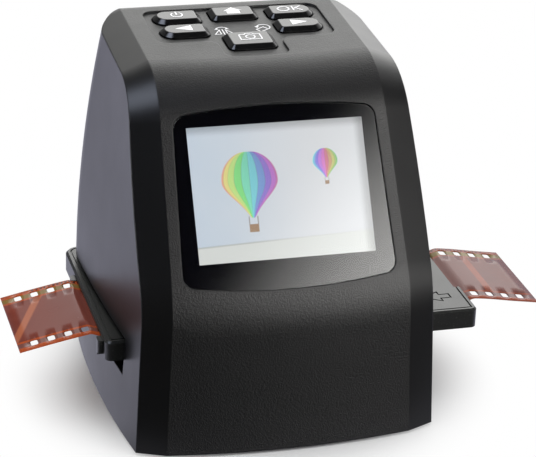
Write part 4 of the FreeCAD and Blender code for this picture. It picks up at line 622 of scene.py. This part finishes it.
def film_mesh(material):
    """Strip of film: a grid over length and width, its perforations left out.

    The grid has lines at each perforation's ends and just inside them. The corner points of every
    perforation move in to the middle of its arc.
    """
    r = PERF_ROUND
    start = PERF_FIRST + PERF_PITCH * np.arange(PERF_COUNT) - PERF_LONG / 2
    along = (start[:, None] + np.array([0, r, PERF_LONG - r, PERF_LONG])).ravel()
    bars = start[:-1, None] + PERF_LONG
    gaps = (bars + (PERF_PITCH - PERF_LONG) * np.array([0.33, 0.67])).ravel()
    xs = np.sort(np.concatenate([[FILM_ENDS[0]], along, gaps, [FILM_ENDS[1]]]))
    low = PERF_ROW - PERF_WIDE / 2
    rim = np.array([low, low + r, low + PERF_WIDE - r, low + PERF_WIDE, FILM_HALF])
    ys = np.concatenate([-rim[::-1], [-8.0, -4.0, 0.0, 4.0, 8.0], rim])
    gx, gy = np.meshgrid(xs, ys, indexing="ij")
    cell_x = (xs[:-1] + xs[1:])[:, None] / 2
    cell_y = (ys[:-1] + ys[1:])[None, :] / 2
    hole_x = np.abs(from_perforation(cell_x)) < PERF_LONG / 2
    hole_x &= (cell_x > start[0]) & (cell_x < start[-1] + PERF_LONG)
    hole_y = np.abs(np.abs(cell_y) - PERF_ROW) < PERF_WIDE / 2
    keep = ~(hole_x & hole_y)
    faces = grid_faces(len(xs), len(ys)).reshape(len(xs) - 1, len(ys) - 1, 4)[keep]
    dx = from_perforation(gx)
    dy = np.abs(gy) - PERF_ROW
    corner = np.isclose(np.abs(dx), PERF_LONG / 2) & np.isclose(np.abs(dy), PERF_WIDE / 2)
    corner &= (gx > start[0] - 0.1) & (gx < start[-1] + PERF_LONG + 0.1)
    gx = np.where(corner, gx - np.sign(dx) * r * CORNER_PULL, gx)
    gy = np.where(corner, gy - np.sign(dy) * np.sign(gy) * r * CORNER_PULL, gy)
    verts = np.stack([gx, gy, film_height(gx)], axis=-1).reshape(-1, 3)
    used, index = np.unique(faces, return_inverse=True)
    piece = new_piece("film_with_perforations", verts[used], index.reshape(-1, 4), material, "film")
    shade_smooth(piece)
    thicken(piece, FILM_THICK)
    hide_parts("film_strip")
    return piece


# Screen

def on_screen(u, v, depth):
    """Points at u across and v up from the picture's middle, depth behind the screen plane."""
    s, c = math.sin(SCREEN_TILT), math.cos(SCREEN_TILT)
    u, v, depth = np.broadcast_arrays(u, v, depth)
    return np.stack([u, v * s + depth * c, v * c - depth * s], axis=-1) + PICTURE_MIDDLE


def in_pane(u, v):
    """Below zero inside the pane's outline: slanted sides, two parabolas, round corners.

    The distances past the side and past the nearer arch are joined as in a box with rounded
    corners.
    """
    share = (v - PANE_LOW_V) / (PANE_TOP_V - PANE_LOW_V)
    past_side = np.abs(u) - PANE_LOW_U - (PANE_TOP_U - PANE_LOW_U) * share
    past_top = v - PANE_TOP_V - PANE_ARCH_UP * (1 - (u / PANE_TOP_U) ** 2)
    past_low = PANE_LOW_V - PANE_ARCH_DOWN * (1 - (u / PANE_LOW_U) ** 2) - v
    side = np.maximum(past_side + PANE_CORNER_R, 0)
    arch = np.maximum(np.maximum(past_top, past_low) + PANE_CORNER_R, 0)
    return np.hypot(side, arch) - PANE_CORNER_R


def screen_mask(material):
    """Black print at the back of the pane, from the lit picture out to the pane's outline.

    Points on the picture's edge are pushed straight out from its middle until they meet the
    outline, and halving the step finds how far.
    """
    side = np.linspace(-1, 1, MASK_SIDE + 1)[:-1]
    one = np.ones(len(side))
    corners = ((side, -one), (one, side), (-side, one), (-one, -side))
    edge = np.concatenate([np.stack(pair, axis=1) for pair in corners])
    a = edge * np.array([LCD_W / 2 + MASK_GAP, LCD_H / 2 + MASK_GAP])
    low, high = np.ones((len(a), 1)), np.full((len(a), 1), 2.0)
    for _ in range(HALVINGS):
        middle = (low + high) / 2
        inside = in_pane(*(a * middle).T)[:, None] < -MASK_INSET
        low, high = np.where(inside, middle, low), np.where(inside, high, middle)
    ring = np.stack([a, a * low], axis=1)
    verts = on_screen(ring[..., 0], ring[..., 1], PANE_BACK - MASK_INSET)
    piece = new_piece("screen_mask", verts, grid_faces(len(a), 2, wrap=True), material, "housing")
    thicken(piece, PRINT_THICK)
    return piece


def screen_picture(material):
    """The lit picture, a flat grid over its width and height just before the display's glass."""
    half_u, half_v = LCD_W / 2 + PICTURE_OVER, LCD_H / 2 + PICTURE_OVER
    u, v = np.meshgrid(np.linspace(-half_u, half_u, PICTURE_GRID[0]),
                       np.linspace(-half_v, half_v, PICTURE_GRID[1]), indexing="ij")
    verts = on_screen(u, v, LCD_FRONT - PICTURE_GAP)
    uv = np.stack([u / LCD_W + 0.5, v / LCD_H + 0.5], axis=-1)
    faces = grid_faces(*PICTURE_GRID)
    piece = new_piece("screen_picture", verts, faces, material, "housing", uv)
    thicken(piece, PRINT_THICK)
    return piece


# Marks on the keys and the panel

def on_panel(xy, lift):
    """Points over the top panel, lift above its plane."""
    xy = np.asarray(xy, float)
    return np.stack([xy[:, 0], xy[:, 1], PANEL_ZERO + PANEL_SLOPE * xy[:, 1] + lift], axis=-1)


def line_mark(path, width, closed=False):
    """A stroke: the path moved half a width to each side, along the mitre at every point."""
    p = np.asarray(path, float)
    before = np.roll(p, 1, axis=0)
    after = np.roll(p, -1, axis=0)
    if not closed:
        before[0] = 2 * p[0] - p[1]
        after[-1] = 2 * p[-1] - p[-2]
    a = (p - before) / np.linalg.norm(p - before, axis=1, keepdims=True)
    b = (after - p) / np.linalg.norm(after - p, axis=1, keepdims=True)
    way = (a + b) / np.linalg.norm(a + b, axis=1, keepdims=True)
    side = np.stack([-way[:, 1], way[:, 0]], axis=1)
    reach = width / 2 / np.maximum(np.abs(np.sum(way * a, axis=1)), 0.35)
    out = p + side * reach[:, None]
    inn = p - side * reach[:, None]
    return np.stack([inn, out], axis=1).reshape(-1, 2), grid_faces(len(p), 2, wrap=closed)


def fan_mark(outline):
    """A filled convex mark: triangles from its middle to each side."""
    p = np.asarray(outline, float)
    n = len(p)
    i = np.arange(n)
    return np.vstack([p, p.mean(axis=0)]), np.stack([i, (i + 1) % n, np.full(n, n)], axis=1)


def arc_path(x, y, r, start, end, count, squash=1.0):
    """Points along an arc about (x, y), angles in degrees."""
    t = np.radians(np.linspace(start, end, count))
    return np.stack([x + r * np.cos(t), y + r * squash * np.sin(t)], axis=1)


def make_mark(name, shapes, lift, material, body):
    """One piece from several flat marks, each a pair of points and faces."""
    verts, faces, count = [], [], 0
    for xy, index in shapes:
        verts.append(on_panel(xy, lift))
        faces.extend(index + count)
        count += len(xy)
    obj = new_piece(name, np.vstack(verts), faces, material, body)
    return thicken(obj, MARK_THICK)


def camera_outline(x, y):
    """Outline of a camera: a rounded box with a raised middle."""
    half, low, high, up = 3.0, -2.0, 1.5, 2.3
    corners = np.array([(-half, low), (half, low), (half, high), (1.5, high), (0.9, up), (-0.9, up),
                        (-1.5, high), (-half, high)])
    return corners + np.array([x, y])


def panel_marks(material):
    """All printed marks: one on each key and two on the panel between them."""
    top = KEY_RISE - RECESS + MARK_LIFT
    flat = -RECESS + MARK_LIFT
    power = [line_mark(arc_path(-16.6, 30.3, 1.6, 125, 415, 28), BOLD),
             line_mark([(-16.6, 30.2), (-16.6, 32.4)], BOLD)]
    house = [fan_mark([(-2.7, 31.2), (2.7, 31.2), (0.0, 33.6)]),
             fan_mark([(-1.9, 29.2), (1.9, 29.2), (1.9, 31.4), (-1.9, 31.4)])]
    letters = [line_mark(arc_path(14.9, 30.4, 1.65, 0, 345, 24, 0.95), BOLD, closed=True),
               line_mark([(17.7, 28.8), (17.7, 32.0)], BOLD),
               line_mark([(20.2, 31.95), (17.95, 30.2)], BOLD),
               line_mark([(18.5, 30.5), (20.3, 28.85)], BOLD)]
    back = [fan_mark([(-19.3, 20.3), (-14.5, 18.5), (-14.5, 22.1)])]
    onward = [fan_mark([(14.5, 18.5), (19.3, 20.3), (14.5, 22.1)])]
    shot = [line_mark(camera_outline(0.2, 11.6), MEDIUM, closed=True),
            line_mark(arc_path(0.2, 11.4, 1.3, 0, 345, 24), MEDIUM, closed=True)]
    mirror = [line_mark([(-5.5, 17.3), (-5.5, 21.4)], THIN),
              line_mark([(-6.4, 18.0), (-6.4, 21.0), (-8.2, 18.0)], THIN, closed=True),
              line_mark([(-4.6, 18.0), (-4.6, 21.0), (-2.8, 18.0)], THIN, closed=True),
              line_mark(arc_path(-5.5, 21.2, 1.9, 30, 150, 9, 0.9), THIN),
              fan_mark([(-7.7, 21.4), (-6.7, 22.5), (-6.6, 21.5)]),
              fan_mark([(-3.3, 21.4), (-4.3, 22.5), (-4.4, 21.5)])]
    turn = [line_mark(arc_path(6.6, 21.4, 1.9, -60, 150, 14), THIN),
            fan_mark([(4.2, 22.1), (5.6, 22.4), (4.8, 21.1)]),
            line_mark([(5.2, 18.2), (7.6, 19.8), (6.6, 21.6), (4.2, 20.0)], THIN, closed=True)]
    for name, shapes, lift, body in (
            ("power_mark", power, top, "power_key_body"),
            ("home_mark", house, top, "home_key_body"),
            ("ok_mark", letters, top, "ok_key_body"),
            ("left_mark", back, top, "left_key_body"),
            ("right_mark", onward, top, "right_key_body"),
            ("capture_mark", shot, top, "capture_key_body"),
            ("mirror_mark", mirror, flat, "housing"), ("turn_mark", turn, flat, "housing")):
        make_mark(name, shapes, lift, material, body)


# Studio

def make_camera():
    """Camera at the photo's place: a long lens from above and a little left, slightly rolled."""
    azimuth, elevation, roll = np.radians((CAMERA_AZIMUTH, CAMERA_ELEVATION, CAMERA_ROLL))
    level = math.cos(elevation)
    look = Vector((level * math.sin(azimuth), level * math.cos(azimuth), -math.sin(elevation)))
    right = Vector((math.cos(azimuth), -math.sin(azimuth), 0.0))
    down = look.cross(right)
    right, down = (math.cos(roll) * right + math.sin(roll) * down,
                   -math.sin(roll) * right + math.cos(roll) * down)
    data = bpy.data.cameras.new("photo_camera")
    data.sensor_fit = "HORIZONTAL"
    data.sensor_width = 36.0
    data.lens = CAMERA_LENS
    data.shift_x, data.shift_y = CAMERA_SHIFT
    data.clip_start, data.clip_end = 0.05, 50.0
    camera = bpy.data.objects.new("photo_camera", data)
    turn = Matrix((right, -down, -look)).transposed().to_4x4()
    camera.matrix_world = Matrix.Translation(Vector(CAMERA_AIM) - look * CAMERA_FAR) @ turn
    bpy.context.scene.collection.objects.link(camera)
    bpy.context.scene.camera = camera


def add_lamp(name, spot, aim, size, watts, colour=(1.0, 1.0, 1.0)):
    """A square soft lamp that is seen by neither camera nor reflections."""
    data = bpy.data.lights.new(name, "AREA")
    data.shape = "SQUARE"
    data.size = size
    data.energy = watts
    data.color = colour
    lamp = bpy.data.objects.new(name, data)
    turn = (Vector(spot) - Vector(aim)).to_track_quat("Z", "Y").to_matrix().to_4x4()
    lamp.matrix_world = Matrix.Translation(Vector(spot)) @ turn
    lamp.visible_camera = False
    lamp.visible_glossy = False
    bpy.context.scene.collection.objects.link(lamp)


def seen_rays(tree):
    """One for rays that show a thing, mirrored or through glass too, and one for mirrored rays."""
    rays = tree.nodes.new("ShaderNodeLightPath")
    mirrored = rays.outputs["Is Glossy Ray"]
    seen = calc(tree, "ADD", rays.outputs["Is Camera Ray"], mirrored)
    return calc(tree, "ADD", seen, rays.outputs["Is Transmission Ray"], clamp=True), mirrored


def make_world():
    """White surroundings: full white where seen, mirrored or through glass, softer as light."""
    world = bpy.data.worlds.new("white_studio")
    world.use_nodes = True
    tree = world.node_tree
    back = tree.nodes["Background"]
    strength = calc(tree, "MULTIPLY_ADD", seen_rays(tree)[0], 0.3, 0.7)
    tree.links.new(strength, back.inputs["Strength"])
    back.inputs["Color"].default_value = (1.0, 1.0, 1.0, 1.0)
    bpy.context.scene.world = world


def make_floor():
    """Round pale floor: it takes the shadow near the scanner and turns to plain white further off.

    In reflections the floor is nearly plain, dark before the scanner, faintly violet elsewhere.
    """
    material, tree, shader = new_material("pale_floor", Roughness=0.9, Specular_IOR_Level=0.0)
    shader.inputs["Base Color"].default_value = (0.88, 0.88, 0.88, 1.0)
    x, y = place(tree)[:2]
    far = calc(tree, "SQRT", calc(tree, "ADD", times(tree, x, x), times(tree, y, y)))
    seen, glossy = seen_rays(tree)
    plain = times(tree, ramp(tree, far, *SHADOW_REACH), seen)
    plain = calc(tree, "MAXIMUM", plain, times(tree, glossy, 0.85))
    mirrored = blend_colour(tree, ramp(tree, y, -60.0, -15.0),
                            (0.02, 0.02, 0.02), (0.80, 0.80, 0.97))
    white = tree.nodes.new("ShaderNodeEmission")
    tree.links.new(blend_colour(tree, glossy, (1.0, 1.0, 1.0), mirrored), white.inputs["Color"])
    mixed = tree.nodes.new("ShaderNodeMixShader")
    tree.links.new(plain, mixed.inputs[0])
    tree.links.new(shader.outputs[0], mixed.inputs[1])
    tree.links.new(white.outputs[0], mixed.inputs[2])
    tree.links.new(mixed.outputs[0], tree.nodes["Material Output"].inputs["Surface"])
    turn = np.linspace(0, 2 * np.pi, FLOOR_SIDES + 1)[:-1]
    xy, faces = fan_mark(FLOOR_R * np.stack([np.cos(turn), np.sin(turn)], axis=1))
    floor = new_piece("studio_floor", np.column_stack([xy, np.zeros(len(xy))]), faces, material)


def make_reflector_dome():
    """What the gloss mirrors: a dome whose light depends on direction, seen by reflections only.

    It is white behind the scanner and dark before it, with the soft panels of PANELS added: a large
    one before it on the right, others above, and a small one far to the left. Its points follow
    latitude and longitude.
    """
    material = bpy.data.materials.new("studio_panels")
    material.use_nodes = True
    tree = material.node_tree
    tree.nodes.remove(tree.nodes["Principled BSDF"])
    glow = tree.nodes.new("ShaderNodeEmission")
    tree.links.new(glow.outputs[0], tree.nodes["Material Output"].inputs["Surface"])
    way = tree.nodes.new("ShaderNodeVectorMath")
    way.operation = "NORMALIZE"
    tree.links.new(coordinates(tree, "Object"), way.inputs[0])
    x, y, z = parted(tree, way.outputs[0])
    rear = ramp(tree, y, -0.05, 0.35, 0.02, 1.0)
    rear = times(tree, rear, ramp(tree, z, 0.6, 0.82, 1.0, 0.25))
    rear = times(tree, rear, ramp(tree, x, -0.1, 0.22, 0.22, 1.0))
    colour = blend_colour(tree, rear, (0.0, 0.0, 0.0), (1.0, 1.0, 1.0))
    for centre, inner, outer, light in PANELS:
        dot = tree.nodes.new("ShaderNodeVectorMath")
        dot.operation = "DOT_PRODUCT"
        tree.links.new(way.outputs[0], dot.inputs[0])
        dot.inputs[1].default_value = Vector(centre).normalized()
        full, none = np.cos(np.radians((inner, outer)))
        share = ramp(tree, dot.outputs["Value"], none, full)
        colour = blend_colour(tree, share, colour, light, "ADD")
    tree.links.new(colour, glow.inputs["Color"])
    turn, rise = np.meshgrid(np.linspace(0, 2 * np.pi, DOME_TURNS + 1)[:-1],
                             np.linspace(DOME_LOW, DOME_HIGH, DOME_RISES), indexing="ij")
    flat = np.cos(rise)
    verts = DOME_R * np.stack([flat * np.cos(turn), flat * np.sin(turn), np.sin(rise)], axis=-1)
    faces = grid_faces(DOME_TURNS, DOME_RISES, wrap=True)
    dome = new_piece("studio_dome", verts, faces, material)
    shade_smooth(dome)
    for kind in ("camera", "diffuse", "transmission", "volume_scatter", "shadow"):
        setattr(dome, "visible_" + kind, False)


def light_scene():
    """Soft light from above and from both sides, at a level at which white stays just white."""
    add_lamp("top_light", (0.1, 0.25, 0.95), (0.0, 0.0, 0.03), 0.9, 5.0)
    add_lamp("right_light", (0.75, -0.55, 0.55), (0.0, 0.0, 0.05), 0.6, 2.0)
    add_lamp("left_light", (-0.8, -0.1, 0.6), (0.0, 0.0, 0.05), 0.6, 1.5, (0.94, 0.97, 1.0))


def main():
    """Dresses the frame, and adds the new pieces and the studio."""
    scene = bpy.context.scene
    scene.view_settings.view_transform = "Standard"
    finishes = all_finishes()
    dress_nodes(finishes)
    film_mesh(finishes["film"])
    screen_mask(finishes["tape"])
    screen_picture(picture_finish())
    panel_marks(finish_of("white_print", (0.82, 0.82, 0.84), 0.4, change=0.05))
    make_camera()
    make_world()
    make_floor()
    make_reflector_dome()
    light_scene()


main()
